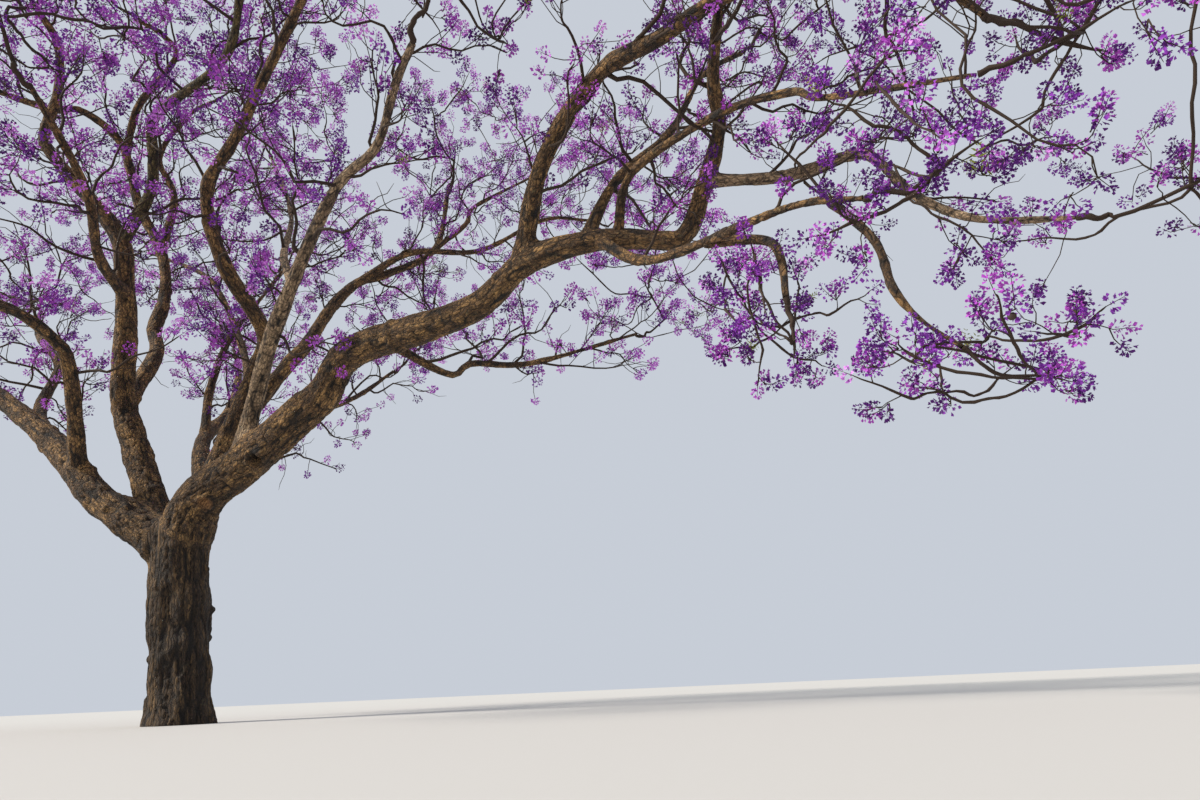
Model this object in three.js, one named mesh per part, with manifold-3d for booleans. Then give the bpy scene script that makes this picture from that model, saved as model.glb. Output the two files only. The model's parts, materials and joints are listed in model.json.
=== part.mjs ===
// Jacaranda tree in full bloom, nearly leafless: trunk, main boughs and masses of blossom.
// Millimetres and degrees, +Z up. The origin is the centre of the trunk's flat cut at ground level.
import * as THREE from 'three';
import { mergeVertices } from 'three/addons/utils/BufferGeometryUtils.js';
import Module from 'manifold-3d';

const wasm = await Module();
wasm.setup();

// Limits of the arithmetic
const WELD_DISTANCE = 1e-4;
const NEARLY_PARALLEL = 1e-9;
const NEARLY_UPRIGHT = 0.9;

// Trunk
const TRUNK_DIAMETER = 670;
const FORK_DIAMETER = 690;
const TRUNK_HEADING = 180;
const TRUNK_RISE = 80;
const TRUNK_LENGTH = 2150;
const ROOT_FLARE = 0.2;
const ROOT_FLARE_HEIGHT = 260;
const ROOT_LOBES = 5;
const LOBE_DEPTH = 0.45;
const LOBE_TURN = 0.8;
const FLUTES = 3;
const FLUTE_DEPTH = 0.045;
const FLUTE_TWIST_HEIGHT = 900;
const DOME_HEIGHT = 220;
const DOME_TOP_SHARE = 0.35;
const DOME_RINGS = [0.6, 1];
const TRUNK_SIDES = 20;
const TRUNK_RINGS = 10;
const RING_CROWDING = 1.6;

// Boughs
const TOUCH_GAP = 0.3;
const COLLAR_SWELL = 0.22;
const COLLAR_FADE = 0.6;
const COLLAR_RINGS = [0.1, 1];
const SEAT_SHARE = 0.85;
const LEAST_RING_GAP = 0.6;
const THICK_BOUGH = 230;
const THICK_SIDES = 9;
const MIDDLE_BOUGH = 130;
const MIDDLE_SIDES = 7;
const THIN_SIDES = 5;
const SPINE_STEPS_PER_RUN = 4;
const CURVE_SAMPLES = 20;

// Twigs and sprays of blossom
const STEM_LENGTH = 260;
const TWIG_END_RADIUS = 13;
const TWIG_TAPER_REACH = 1.5;
const FOOT_SHARE = 0.7;
const SPRAY_LENGTH = 880;
const SPRAY_WIDTH = 600;
const SPRAY_HEIGHT = 500;
const SPRAY_BELLY = 0.45;
const SPRAY_UPWARD = 0.55;
const SMALLEST_SPRAY = 0.85;
const LARGEST_SPRAY = 1.15;
const SPRAY_ROOM = 0.85;
const SPOTS_PER_MASS = 20;
const CANDIDATES = 14;
const INNER_REACH = 0.25;
const OUTER_REACH = 0.7;
const CELL_MARGIN = 12;
const LIMB_MARGIN = 25;
const PATH_WEIGHT = 0.3;
const MOST_FORKS = 3;
const JOINTS_TRIED = 5;
const LOWEST_TWIG = 1550;
const FULL_SIZE_RADIUS = 1700;
const FIRST_SEED = 100;

// Each limb: parent, where it leaves the parent's centre line (0 foot, 1 tip), foot and tip diameter,
// and its runs as [heading, rise, length]. Heading 0 is +X and 90 is +Y. bloom is the mass of
// blossom on its tip: [radius, half height, forward, lift], the last two as shares of the radius.
const LIMBS = {
  big_bough: { parent: 'trunk', at: 0.94, foot: 560, tip: 190,
    runs: [[-40, 64, 700], [-25, 26, 800], [-35, 19, 800], [-30, 25, 800], [-35, 36, 650],
      [-30, 0, 1750], [-38, 16, 850], [-25, 0, 800], [-10, -10, 700]] },
  left_bough: { parent: 'trunk', at: 0.93, foot: 470, tip: 110,
    runs: [[180, 34, 1450], [165, 40, 1650], [170, 34, 2600], [175, 30, 1350]],
    bloom: [1900, 1300, 0.5, 0.3] },
  middle_bough: { parent: 'trunk', at: 0.98, foot: 430, tip: 80,
    runs: [[155, 40, 800], [165, 60, 650], [180, 65, 650], [-150, 70, 600], [-75, 65, 1100],
      [-80, 60, 500], [-100, 65, 700], [-155, 48, 1350], [-155, 60, 400], [-45, 65, 650],
      [-75, 60, 650], [-100, 30, 450]],
    bloom: [1700, 1100, 0.3, 0.3] },
  dark_riser: { parent: 'trunk', at: 1, foot: 300, tip: 90,
    runs: [[70, 75, 950], [30, 75, 650], [-35, 62, 1100], [-60, 40, 500], [-110, 38, 1050],
      [-90, 48, 900], [-45, 18, 950], [-45, 25, 1850]],
    bloom: [1700, 1200, 0.5, 0.35] },
  back_bough: { parent: 'trunk', at: 1, foot: 320, tip: 90,
    runs: [[110, 45, 1200], [125, 48, 1500], [105, 38, 1600], [115, 45, 1500], [125, 45, 1300]],
    bloom: [2000, 1300, 0.45, 0.3] },
  arch_bough: { parent: 'big_bough', at: 0.77, foot: 200, tip: 70,
    runs: [[-65, 50, 1000], [-50, 25, 950], [-48, -15, 850], [-35, 5, 450], [-20, 0, 550],
      [-10, -5, 600], [0, -20, 500], [5, -45, 450]],
    bloom: [1500, 1000, 0.4, 0.2] },
  elbow_riser: { parent: 'big_bough', at: 1, foot: 190, tip: 70,
    runs: [[-12, -5, 100], [-35, 42, 200], [-70, 37, 300], [-65, 44, 300], [-80, 36, 300],
      [-105, 36, 350], [-90, 25, 450], [-85, 40, 550]],
    bloom: [1600, 1100, 0.35, 0.4] },
  pale_riser: { parent: 'big_bough', at: 0.21, foot: 240, tip: 70,
    runs: [[-55, 50, 1050], [-55, 40, 950], [-50, 30, 1800], [-35, 20, 750], [-55, 40, 650],
      [-55, 15, 500]],
    bloom: [1700, 1200, 0.4, 0.45] },
  inner_left: { parent: 'middle_bough', at: 0.32, foot: 250, tip: 80,
    runs: [[100, 60, 1250], [140, 60, 650], [90, 80, 500], [140, 75, 650], [180, 70, 650],
      [-165, 60, 850], [-125, 65, 1150], [-140, 30, 750], [-150, -18, 450], [-155, 10, 1350]],
    bloom: [1900, 1200, 0.5, 0.2] },
  shoulder_bough: { parent: 'dark_riser', at: 0.25, foot: 240, tip: 70,
    runs: [[35, 60, 250], [-5, 55, 1050], [40, 60, 450], [60, 65, 950], [30, 55, 600], [25, 30, 500],
      [45, 45, 1250], [60, 80, 1550]],
    bloom: [1800, 1100, 0.2, 0.35] },
  left_riser: { parent: 'left_bough', at: 0.34, foot: 220, tip: 70,
    runs: [[-75, 50, 1500], [-85, 25, 500], [-90, 5, 500], [-85, -10, 700], [-110, 10, 850]],
    bloom: [1700, 1100, 0.4, 0.4] },
  mossy_riser: { parent: 'middle_bough', at: 0.57, foot: 160, tip: 90,
    runs: [[-35, 40, 800], [-60, 40, 500], [-85, 65, 450], [-40, 5, 450], [-35, -5, 1500],
      [-55, 35, 850]],
    bloom: [1600, 1100, 0.4, 0.4] },
  inner_left_riser: { parent: 'inner_left', at: 0.68, foot: 140, tip: 60,
    runs: [[-55, 50, 500], [-45, 30, 500], [-35, 15, 1100], [-110, 35, 350], [-135, 5, 400]],
    bloom: [1500, 900, 0.2, 0.2] },
  inner_middle: { parent: 'inner_left', at: 0.48, foot: 140, tip: 60,
    runs: [[-50, 75, 1000], [-145, 65, 800], [-20, 55, 900], [-20, 10, 600]],
    bloom: [1700, 1000, 0.5, 0.2] },
  crook_branch: { parent: 'dark_riser', at: 0.32, foot: 120, tip: 60,
    runs: [[125, 50, 1200], [140, 50, 2100], [160, 45, 850], [150, 30, 2000]],
    bloom: [1600, 1000, 0.3, 0.3] },
  pale_side: { parent: 'pale_riser', at: 0.39, foot: 100, tip: 50,
    runs: [[135, 55, 700], [115, 60, 1200], [145, 60, 1500]],
    bloom: [1500, 1000, 0.2, 0.4] },
  shoulder_side: { parent: 'shoulder_bough', at: 0.87, foot: 100, tip: 50,
    runs: [[20, 50, 850], [65, 65, 600], [40, 45, 1700]],
    bloom: [1900, 1100, 0.6, 0] },
  right_reach: { parent: 'elbow_riser', at: 0.41, foot: 120, tip: 45,
    runs: [[-20, -14, 700], [-15, 8, 550], [-25, -25, 200], [-65, -63, 700], [-40, -47, 550],
      [-32, -22, 600]],
    bloom: [1600, 1000, 0.5, 0.45] },
  arc_branch: { parent: 'big_bough', at: 0.92, foot: 90, tip: 40,
    runs: [[-70, 45, 600], [-50, -5, 1050], [-45, -20, 700], [-55, -45, 400], [-40, -25, 1000]],
    bloom: [1300, 800, 0.4, 0.15] },
  low_reach: { parent: 'big_bough', at: 0.89, foot: 110, tip: 50,
    runs: [[-55, -40, 1000], [-55, -15, 1500], [-50, -25, 600]],
    bloom: [1100, 700, 0.4, 0.2] },
  drooper: { parent: 'low_reach', at: 0.83, foot: 55, tip: 30,
    runs: [[0, -55, 400], [-70, -80, 380], [-25, -65, 260], [-20, -50, 270]],
    bloom: [700, 450, 0.2, 0.05] },
  stub_drooper: { parent: 'low_reach', at: 0.48, foot: 90, tip: 50,
    runs: [[-15, -10, 450], [-25, -60, 210], [-110, -80, 380]],
    bloom: [700, 450, 0.25, 0.05] },
  under_branch: { parent: 'big_bough', at: 0.59, foot: 110, tip: 50,
    runs: [[45, -12, 900], [52, 36, 450], [40, 15, 950], [30, 25, 1850]],
    bloom: [1700, 1000, 0.5, 0.3] },
  back_left: { parent: 'left_bough', at: 0.48, foot: 200, tip: 70,
    runs: [[140, 35, 1300], [125, 45, 1700], [145, 35, 1800], [135, 40, 1500]],
    bloom: [1900, 1200, 0.5, 0.3] },
  back_right: { parent: 'back_bough', at: 0.16, foot: 200, tip: 70,
    runs: [[80, 45, 1100], [45, 50, 1200], [65, 35, 1500], [45, 45, 1000]],
    bloom: [2000, 1300, 0.5, 0.3] },
  back_high: { parent: 'back_bough', at: 0.42, foot: 160, tip: 60,
    runs: [[130, 75, 950], [70, 78, 1150], [80, 60, 1200], [60, 65, 900]],
    bloom: [1800, 1100, 0.3, 0.35] },
  high_right: { parent: 'big_bough', at: 0.87, foot: 120, tip: 50,
    runs: [[-20, 60, 700], [20, 50, 1000], [5, 62, 900], [30, 45, 900]],
    bloom: [1600, 1000, 0.4, 0.3] },
  shoulder_reach: { parent: 'shoulder_bough', at: 0.62, foot: 130, tip: 50,
    runs: [[5, 35, 1000], [25, 15, 1200], [5, 30, 1300], [20, 10, 900]],
    bloom: [1800, 1100, 0.4, 0.3] },
  top_right: { parent: 'arch_bough', at: 0.6, foot: 90, tip: 45,
    runs: [[-20, 45, 600], [10, 30, 700], [25, 45, 700], [5, 20, 600]],
    bloom: [1500, 1000, 0.4, 0.3] },
  front_left: { parent: 'middle_bough', at: 0.47, foot: 160, tip: 70,
    runs: [[-75, 0, 1000], [-65, 10, 1200], [-85, 20, 1200]],
    bloom: [1700, 1100, 0.4, 0.4] },
};

// Looks
const BARK_COLOUR = 0x5b4a3c;
const BARK_ROUGHNESS = 0.95;
const BLOSSOM_COLOUR = 0x9a5fc4;
const BLOSSOM_ROUGHNESS = 0.85;

// The trunk and its limbs as centre lines with a thickness
function direction(heading, rise) {
  const h = THREE.MathUtils.degToRad(heading);
  const r = THREE.MathUtils.degToRad(rise);
  return new THREE.Vector3(Math.cos(r) * Math.cos(h), Math.cos(r) * Math.sin(h), Math.sin(r));
}

function centreLine(start, runs) {
  const bends = [start.clone()];
  for (const [heading, rise, length] of runs) {
    bends.push(bends.at(-1).clone().addScaledVector(direction(heading, rise), length));
  }
  return new THREE.CatmullRomCurve3(bends, false, 'catmullrom', 0.5);
}

function makeLimb(name, spec, parent) {
  const continues = parent !== null && spec.at === 1 && parent.name !== 'trunk';
  const start = parent ? parent.curve.getPoint(spec.at) : new THREE.Vector3();
  if (continues) start.addScaledVector(parent.curve.getTangent(1), TOUCH_GAP);
  const curve = centreLine(start, spec.runs);
  const limb = { name, parent, continues, curve, length: curve.getLength(), ...spec };
  limb.seatRadius = parent && !continues ? parent.radiusAt(parent.length * spec.at) : 0;
  limb.radiusAt = (along) => {
    const share = THREE.MathUtils.clamp(along / limb.length, 0, 1);
    return THREE.MathUtils.lerp(spec.foot, spec.tip, share) / 2;
  };
  limb.spine = spineOf(limb);
  return limb;
}

// A limb's centre line as short straight pieces, for keeping twigs clear of it
function spineOf(limb) {
  const steps = limb.runs.length * SPINE_STEPS_PER_RUN;
  const pieces = [];
  for (let i = 0; i < steps; i += 1) {
    const a = limb.curve.getPoint(i / steps);
    const b = limb.curve.getPoint((i + 1) / steps);
    pieces.push({ a, b, radius: limb.radiusAt((limb.length * i) / steps) * (1 + COLLAR_SWELL / 2) });
  }
  return pieces;
}

// Solids
function solidFrom(geometry) {
  const bare = geometry.clone();
  bare.deleteAttribute('normal');
  bare.deleteAttribute('uv');
  const merged = mergeVertices(bare, WELD_DISTANCE);
  return new wasm.Manifold(new wasm.Mesh({
    numProp: 3,
    vertProperties: new Float32Array(merged.attributes.position.array),
    triVerts: new Uint32Array(merged.index.array),
  }));
}

function geometryFrom(solid) {
  const mesh = solid.getMesh();
  const geometry = new THREE.BufferGeometry();
  geometry.setAttribute('position', new THREE.BufferAttribute(mesh.vertProperties, 3));
  geometry.setIndex(new THREE.BufferAttribute(mesh.triVerts, 1));
  geometry.computeVertexNormals();
  return geometry;
}

// The largest closed body of a solid: loose scraps are dropped and sealed hollows are filled
function largestBody(solid) {
  const bodies = solid.decompose();
  bodies.sort((one, other) => other.volume() - one.volume());
  return bodies[0];
}

// A closed tube through rings, each with a centre, a side and a front direction and a radius
function tubeThrough(rings, sides) {
  const geometry = new THREE.CylinderGeometry(1, 1, 1, sides, rings.length - 1);
  const spots = geometry.attributes.position;
  for (let i = 0; i < spots.count; i += 1) {
    const ring = rings[Math.round((spots.getY(i) + 0.5) * (rings.length - 1))];
    const spot = ring.centre.clone();
    spot.addScaledVector(ring.side, spots.getX(i) * ring.radius);
    spot.addScaledVector(ring.front, spots.getZ(i) * ring.radius);
    spots.setXYZ(i, spot.x, spot.y, spot.z);
  }
  return solidFrom(geometry);
}

// Where a limb gets a ring: its collar, each bend and, on a thick limb, the middle of each run
function ringPlaces(limb) {
  const places = [0];
  if (limb.seatRadius > 0) {
    for (const share of COLLAR_RINGS) places.push(limb.seatRadius + share * limb.foot);
  }
  const parts = limb.runs.length * (limb.foot >= THICK_BOUGH ? 2 : 1);
  const lengths = limb.curve.getLengths(parts * CURVE_SAMPLES);
  for (let i = 1; i <= parts; i += 1) {
    const along = lengths[i * CURVE_SAMPLES];
    if (along > places.at(-1) + limb.foot * LEAST_RING_GAP) places.push(along);
  }
  places[places.length - 1] = limb.length;
  return places;
}

function limbSolid(limb, grow) {
  const rings = [];
  const sides = sidesOf(limb.foot);
  let side = new THREE.Vector3(0, 0, 1);
  for (const along of ringPlaces(limb)) {
    const share = Math.min(along / limb.length, 1);
    const tangent = limb.curve.getTangentAt(share);
    side = side.clone().addScaledVector(tangent, -side.dot(tangent)).normalize();
    const fade = Math.exp(-Math.max(0, along - limb.seatRadius) / (COLLAR_FADE * limb.foot));
    let radius = limb.radiusAt(along) * (limb.continues ? 1 : 1 + COLLAR_SWELL * fade);
    if (along === 0 && limb.seatRadius > 0) radius = Math.min(radius, SEAT_SHARE * limb.seatRadius);
    const centre = limb.curve.getPointAt(share);
    if (share === 1) centre.addScaledVector(tangent, grow);
    rings.push({
      centre,
      side,
      front: new THREE.Vector3().crossVectors(side, tangent),
      radius: radius + grow / Math.cos(Math.PI / sides),
    });
  }
  return tubeThrough(rings, sides);
}

function sidesOf(foot) {
  if (foot >= THICK_BOUGH) return THICK_SIDES;
  return foot >= MIDDLE_BOUGH ? MIDDLE_SIDES : THIN_SIDES;
}

// The trunk stands on a level cut. Its foot spreads in rounded lobes and its top is a low dome.
function trunkSolid(trunk, grow) {
  const top = trunk.curve.getPoint(1).z;
  const heights = [];
  for (let i = 0; i <= TRUNK_RINGS; i += 1) heights.push(top * (i / TRUNK_RINGS) ** RING_CROWDING);
  for (const share of DOME_RINGS) heights.push(top + share * DOME_HEIGHT);
  const geometry = new THREE.CylinderGeometry(1, 1, 1, TRUNK_SIDES, heights.length - 1);
  const spots = geometry.attributes.position;
  for (let i = 0; i < spots.count; i += 1) {
    const level = Math.round((spots.getY(i) + 0.5) * (heights.length - 1));
    const height = heights[level];
    const centre = trunk.curve.getPoint(Math.min(height / top, 1));
    const angle = Math.atan2(-spots.getZ(i), spots.getX(i));
    const reach = Math.hypot(spots.getX(i), spots.getZ(i));
    const radius = reach * (trunkRadius(angle, height, top) + grow / Math.cos(Math.PI / TRUNK_SIDES));
    const lift = level === heights.length - 1 ? grow : 0;
    spots.setXYZ(i, centre.x + radius * Math.cos(angle), centre.y + radius * Math.sin(angle), height + lift);
  }
  return solidFrom(geometry);
}

function trunkRadius(angle, height, top) {
  const plain = THREE.MathUtils.lerp(TRUNK_DIAMETER, FORK_DIAMETER, Math.min(height / top, 1)) / 2;
  const flare = ROOT_FLARE * Math.exp(-height / ROOT_FLARE_HEIGHT);
  const lobes = 1 + LOBE_DEPTH * Math.cos(ROOT_LOBES * angle + LOBE_TURN);
  const flutes = FLUTE_DEPTH * Math.cos(FLUTES * angle + height / FLUTE_TWIST_HEIGHT);
  const dome = Math.sqrt(1 - Math.max(0, (height - top) / DOME_HEIGHT) ** 2);
  return plain * (1 + flare * lobes + flutes) * Math.max(DOME_TOP_SHARE, dome);
}

// Seeded random numbers from 0 to 1
function seeded(seed) {
  let state = seed;
  return () => {
    state = (state + 0x6d2b79f5) | 0;
    let t = Math.imul(state ^ (state >>> 15), 1 | state);
    t = (t + Math.imul(t ^ (t >>> 7), 61 | t)) ^ t;
    return ((t ^ (t >>> 14)) >>> 0) / 4294967296;
  };
}

// Shortest distance between two straight pieces, from a to b and from c to d
function pieceDistance(a, b, c, d) {
  const u = b.clone().sub(a);
  const v = d.clone().sub(c);
  const w = a.clone().sub(c);
  const uu = u.dot(u);
  const vv = v.dot(v);
  const uv = u.dot(v);
  const uw = u.dot(w);
  const vw = v.dot(w);
  const spread = uu * vv - uv * uv;
  let s = spread > NEARLY_PARALLEL ? THREE.MathUtils.clamp((uv * vw - vv * uw) / spread, 0, 1) : 0;
  const t = THREE.MathUtils.clamp((uv * s + vw) / vv, 0, 1);
  s = THREE.MathUtils.clamp((uv * t - uw) / uu, 0, 1);
  return w.addScaledVector(u, s).addScaledVector(v, -t).length();
}

function clearOfLimbs(a, b, radius, limbs) {
  for (const limb of limbs) {
    for (const piece of limb.spine) {
      if (pieceDistance(a, b, piece.a, piece.b) < piece.radius + radius + LIMB_MARGIN) return false;
    }
  }
  return true;
}

// A mass of blossom: its space is an upright egg cut by flat walls halfway to its neighbours
function makeMass(limb, index) {
  const [radius, height, forward, lift] = limb.bloom;
  const tip = limb.curve.getPoint(1);
  const tangent = limb.curve.getTangent(1);
  const centre = tip.clone().addScaledVector(tangent, forward * radius);
  centre.z += lift * radius;
  return { name: `${limb.name}_blossom`, limb, index, radius, height, tip, tangent, centre };
}

// How far a spot lies inside the walls between a mass and its neighbours
function insideWalls(mass, masses, spot) {
  let inside = Infinity;
  for (const other of masses) {
    if (other === mass) continue;
    const apart = mass.centre.distanceTo(other.centre);
    const own = spot.distanceToSquared(mass.centre) - mass.radius ** 2;
    const theirs = spot.distanceToSquared(other.centre) - other.radius ** 2;
    inside = Math.min(inside, (theirs - own) / (2 * apart));
  }
  return inside;
}

// Spots for the sprays, spread evenly through the outer part of the mass's space
function spraySpots(mass, masses, random) {
  const spots = [];
  for (let i = 0; i < SPOTS_PER_MASS; i += 1) {
    let best = null;
    let bestGap = -1;
    for (let tried = 0; tried < CANDIDATES; tried += 1) {
      const turn = 2 * Math.PI * random();
      const up = 2 * random() - 1;
      const reach = THREE.MathUtils.lerp(INNER_REACH, OUTER_REACH, Math.sqrt(random()));
      const flat = Math.sqrt(1 - up * up) * reach * mass.radius;
      const spot = new THREE.Vector3(flat * Math.cos(turn), flat * Math.sin(turn), up * reach * mass.height);
      spot.add(mass.centre);
      if (insideWalls(mass, masses, spot) < TWIG_END_RADIUS || spot.z < LOWEST_TWIG) continue;
      const gap = Math.min(mass.radius, ...spots.map((other) => other.distanceTo(spot)));
      if (gap > bestGap) [best, bestGap] = [spot, gap];
    }
    if (best) spots.push(best);
  }
  return spots.sort((one, other) => one.distanceTo(mass.tip) - other.distanceTo(mass.tip));
}

// A side and a front direction square to a line
function squareTo(along) {
  const hint = Math.abs(along.z) > NEARLY_UPRIGHT ? new THREE.Vector3(1, 0, 0) : new THREE.Vector3(0, 0, 1);
  const side = new THREE.Vector3().crossVectors(along, hint).normalize();
  return { side, front: new THREE.Vector3().crossVectors(side, along) };
}

// A twig with its spray: a thin three-sided stalk that swells into a pointed head with four
// ridges, which stands for many heads of blossom. Corners 0 to 2 are the stalk's foot, 3 to 5 its
// neck, 6 to 9 the widest part of the head and 10 its tip.
const TWIG_FACES = [
  [0, 1, 2],
  [0, 4, 1], [0, 3, 4], [1, 5, 2], [1, 4, 5], [2, 3, 0], [2, 5, 3],
  [3, 6, 7], [3, 7, 4], [4, 7, 8], [4, 8, 5], [5, 8, 9], [5, 9, 3], [3, 9, 6],
  [10, 7, 6], [10, 8, 7], [10, 9, 8], [10, 6, 9],
];

function cornersRound(centre, side, front, width, height, count) {
  const corners = [];
  for (let i = 0; i < count; i += 1) {
    const turn = (2 * Math.PI * i) / count;
    const corner = centre.clone().addScaledVector(side, width * Math.cos(turn));
    corners.push(corner.addScaledVector(front, height * Math.sin(turn)));
  }
  return corners;
}

function twigSolid(twig) {
  const stalk = squareTo(twig.along);
  const side = stalk.side.clone().addScaledVector(twig.axis, -stalk.side.dot(twig.axis)).normalize();
  const front = new THREE.Vector3().crossVectors(side, twig.axis);
  const height = (twig.spread * SPRAY_HEIGHT) / SPRAY_WIDTH;
  const geometry = new THREE.BufferGeometry().setFromPoints([
    ...cornersRound(twig.foot, stalk.side, stalk.front, twig.footRadius, twig.footRadius, 3),
    ...cornersRound(twig.neck, stalk.side, stalk.front, twig.neckRadius, twig.neckRadius, 3),
    ...cornersRound(twig.belly, side, front, twig.spread, height, 4),
    twig.tip,
  ]);
  geometry.setIndex(TWIG_FACES.flat());
  return solidFrom(geometry);
}

function twigRadius(mass, path) {
  const left = Math.max(0, 1 - path / (TWIG_TAPER_REACH * mass.radius));
  return Math.max(TWIG_END_RADIUS, (mass.limb.tip / 2) * left);
}

// A twig from a joint to a spot, with the spray that it carries there
function makeTwig(mass, joint, spot, size) {
  const along = spot.clone().sub(joint.spot).normalize();
  const axis = along.clone().add(new THREE.Vector3(0, 0, SPRAY_UPWARD)).normalize();
  const path = joint.path + joint.spot.distanceTo(spot);
  return {
    along,
    axis,
    path,
    foot: joint.spot,
    neck: spot,
    belly: spot.clone().addScaledVector(axis, SPRAY_BELLY * size * SPRAY_LENGTH),
    tip: spot.clone().addScaledVector(axis, size * SPRAY_LENGTH),
    spread: (size * SPRAY_WIDTH) / 2,
    joint,
    footRadius: twigRadius(mass, joint.path) * FOOT_SHARE,
    neckRadius: twigRadius(mass, path),
  };
}

function twigFits(twig, mass, masses, limbs, grown) {
  const { side } = squareTo(twig.axis);
  const left = twig.belly.clone().addScaledVector(side, twig.spread);
  const right = twig.belly.clone().addScaledVector(side, -twig.spread);
  for (const corner of [twig.tip, left, right, twig.belly]) {
    if (insideWalls(mass, masses, corner) < CELL_MARGIN || corner.z < LOWEST_TWIG) return false;
  }
  if (insideWalls(mass, masses, twig.foot) < twig.footRadius + CELL_MARGIN) return false;
  if (insideWalls(mass, masses, twig.neck) < twig.neckRadius + CELL_MARGIN) return false;
  if (!clearOfLimbs(twig.neck, twig.tip, twig.spread, limbs)) return false;
  if (!clearOfLimbs(twig.foot, twig.neck, twig.footRadius, limbs)) return false;
  for (const other of grown) {
    if (other === twig.joint.twig) continue;
    const room = twig.spread + other.spread;
    if (pieceDistance(twig.neck, twig.tip, other.neck, other.tip) < SPRAY_ROOM * room) return false;
    if (pieceDistance(twig.foot, twig.neck, other.neck, other.tip) < SPRAY_ROOM * other.spread) return false;
  }
  return true;
}

// Twigs branch outward from the stem: each new one starts in the head that gives it a short way home
function massSolid(mass, masses, limbs) {
  const random = seeded(FIRST_SEED + mass.index);
  const fullness = Math.min(1, mass.radius / FULL_SIZE_RADIUS);
  const root = mass.tip.clone().addScaledVector(mass.tangent, TOUCH_GAP);
  const stemEnd = root.clone().addScaledVector(mass.tangent, STEM_LENGTH);
  const stem = makeTwig(mass, { spot: root, path: 0, twig: null, forks: 0 }, stemEnd, fullness);
  stem.footRadius = mass.limb.tip / 2;
  const joints = [{ spot: stem.belly, path: STEM_LENGTH, twig: stem, forks: 0 }];
  const grown = [stem];
  let solid = twigSolid(stem);
  for (const spot of spraySpots(mass, masses, random)) {
    const size = THREE.MathUtils.lerp(SMALLEST_SPRAY, LARGEST_SPRAY, random()) * fullness;
    const cost = (joint) => joint.spot.distanceTo(spot) + PATH_WEIGHT * joint.path;
    const open = joints.filter((joint) => joint.forks < MOST_FORKS);
    const nearest = open.sort((one, other) => cost(one) - cost(other)).slice(0, JOINTS_TRIED);
    const twigs = nearest.map((joint) => makeTwig(mass, joint, spot, size));
    const twig = twigs.find((one) => twigFits(one, mass, masses, limbs, grown));
    if (!twig) continue;
    solid = solid.add(twigSolid(twig));
    grown.push(twig);
    twig.joint.forks += 1;
    joints.push({ spot: twig.belly, path: twig.path, twig, forks: 0 });
  }
  return largestBody(solid);
}

// The whole tree
function addPiece(group, name, solid, colour, roughness) {
  const material = new THREE.MeshStandardMaterial({ color: colour, roughness, metalness: 0 });
  const mesh = new THREE.Mesh(geometryFrom(solid), material);
  mesh.name = name;
  group.add(mesh);
}

function growTree() {
  const group = new THREE.Group();
  const trunkRuns = [[TRUNK_HEADING, TRUNK_RISE, TRUNK_LENGTH]];
  const trunk = makeLimb('trunk', { foot: TRUNK_DIAMETER, tip: FORK_DIAMETER, runs: trunkRuns }, null);
  addPiece(group, 'trunk', trunkSolid(trunk, 0), BARK_COLOUR, BARK_ROUGHNESS);
  const made = { trunk };
  const cutters = [{ limb: trunk, solid: trunkSolid(trunk, TOUCH_GAP) }];
  for (const [name, spec] of Object.entries(LIMBS)) {
    const limb = makeLimb(name, spec, made[spec.parent]);
    let solid = limbSolid(limb, 0);
    for (const cutter of cutters) {
      if (limb.continues && cutter.limb === limb.parent) continue;
      solid = solid.subtract(cutter.solid);
    }
    made[name] = limb;
    cutters.push({ limb, solid: limbSolid(limb, TOUCH_GAP) });
    addPiece(group, name, largestBody(solid), BARK_COLOUR, BARK_ROUGHNESS);
  }
  const limbs = Object.values(made);
  const masses = limbs.filter((limb) => limb.bloom).map(makeMass);
  for (const mass of masses) {
    addPiece(group, mass.name, massSolid(mass, masses, limbs), BLOSSOM_COLOUR, BLOSSOM_ROUGHNESS);
  }
  return group;
}

const group = growTree();
export default group;
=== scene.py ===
"""Jacaranda tree in full bloom and nearly leafless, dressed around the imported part.

Metres and degrees, +Z up. The origin is the centre of the trunk's flat cut at ground level, and the
photograph looks along +Y. The limbs follow the same runs as the part's source, and each mass of blossom
grows by the same seeded rule, carried on to finer twigs, sprays and single flowers.
"""
import itertools
import json
import math

import bmesh
import bpy
import numpy as np
from mathutils import Matrix, Vector

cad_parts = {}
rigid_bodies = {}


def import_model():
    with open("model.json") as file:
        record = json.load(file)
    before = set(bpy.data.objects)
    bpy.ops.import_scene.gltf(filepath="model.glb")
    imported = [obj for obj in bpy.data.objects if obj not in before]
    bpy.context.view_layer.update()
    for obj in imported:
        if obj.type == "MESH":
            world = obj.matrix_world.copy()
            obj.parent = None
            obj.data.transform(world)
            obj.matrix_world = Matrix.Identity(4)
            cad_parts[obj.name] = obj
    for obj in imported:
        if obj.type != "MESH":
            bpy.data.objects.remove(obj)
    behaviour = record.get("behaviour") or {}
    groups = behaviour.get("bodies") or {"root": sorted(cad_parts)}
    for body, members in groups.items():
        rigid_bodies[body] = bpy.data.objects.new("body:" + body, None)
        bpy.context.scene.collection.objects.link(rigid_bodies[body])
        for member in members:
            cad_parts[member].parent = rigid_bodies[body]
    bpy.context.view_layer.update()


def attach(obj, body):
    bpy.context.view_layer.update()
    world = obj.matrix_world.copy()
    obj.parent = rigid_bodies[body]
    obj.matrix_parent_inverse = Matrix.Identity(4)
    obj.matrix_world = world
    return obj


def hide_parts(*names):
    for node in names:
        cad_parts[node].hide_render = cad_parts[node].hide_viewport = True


# Limits of the arithmetic
SMALLEST_LENGTH = 1e-12
SMALL_STEP = 1e-4
WELD_DISTANCE = 1e-5
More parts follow.
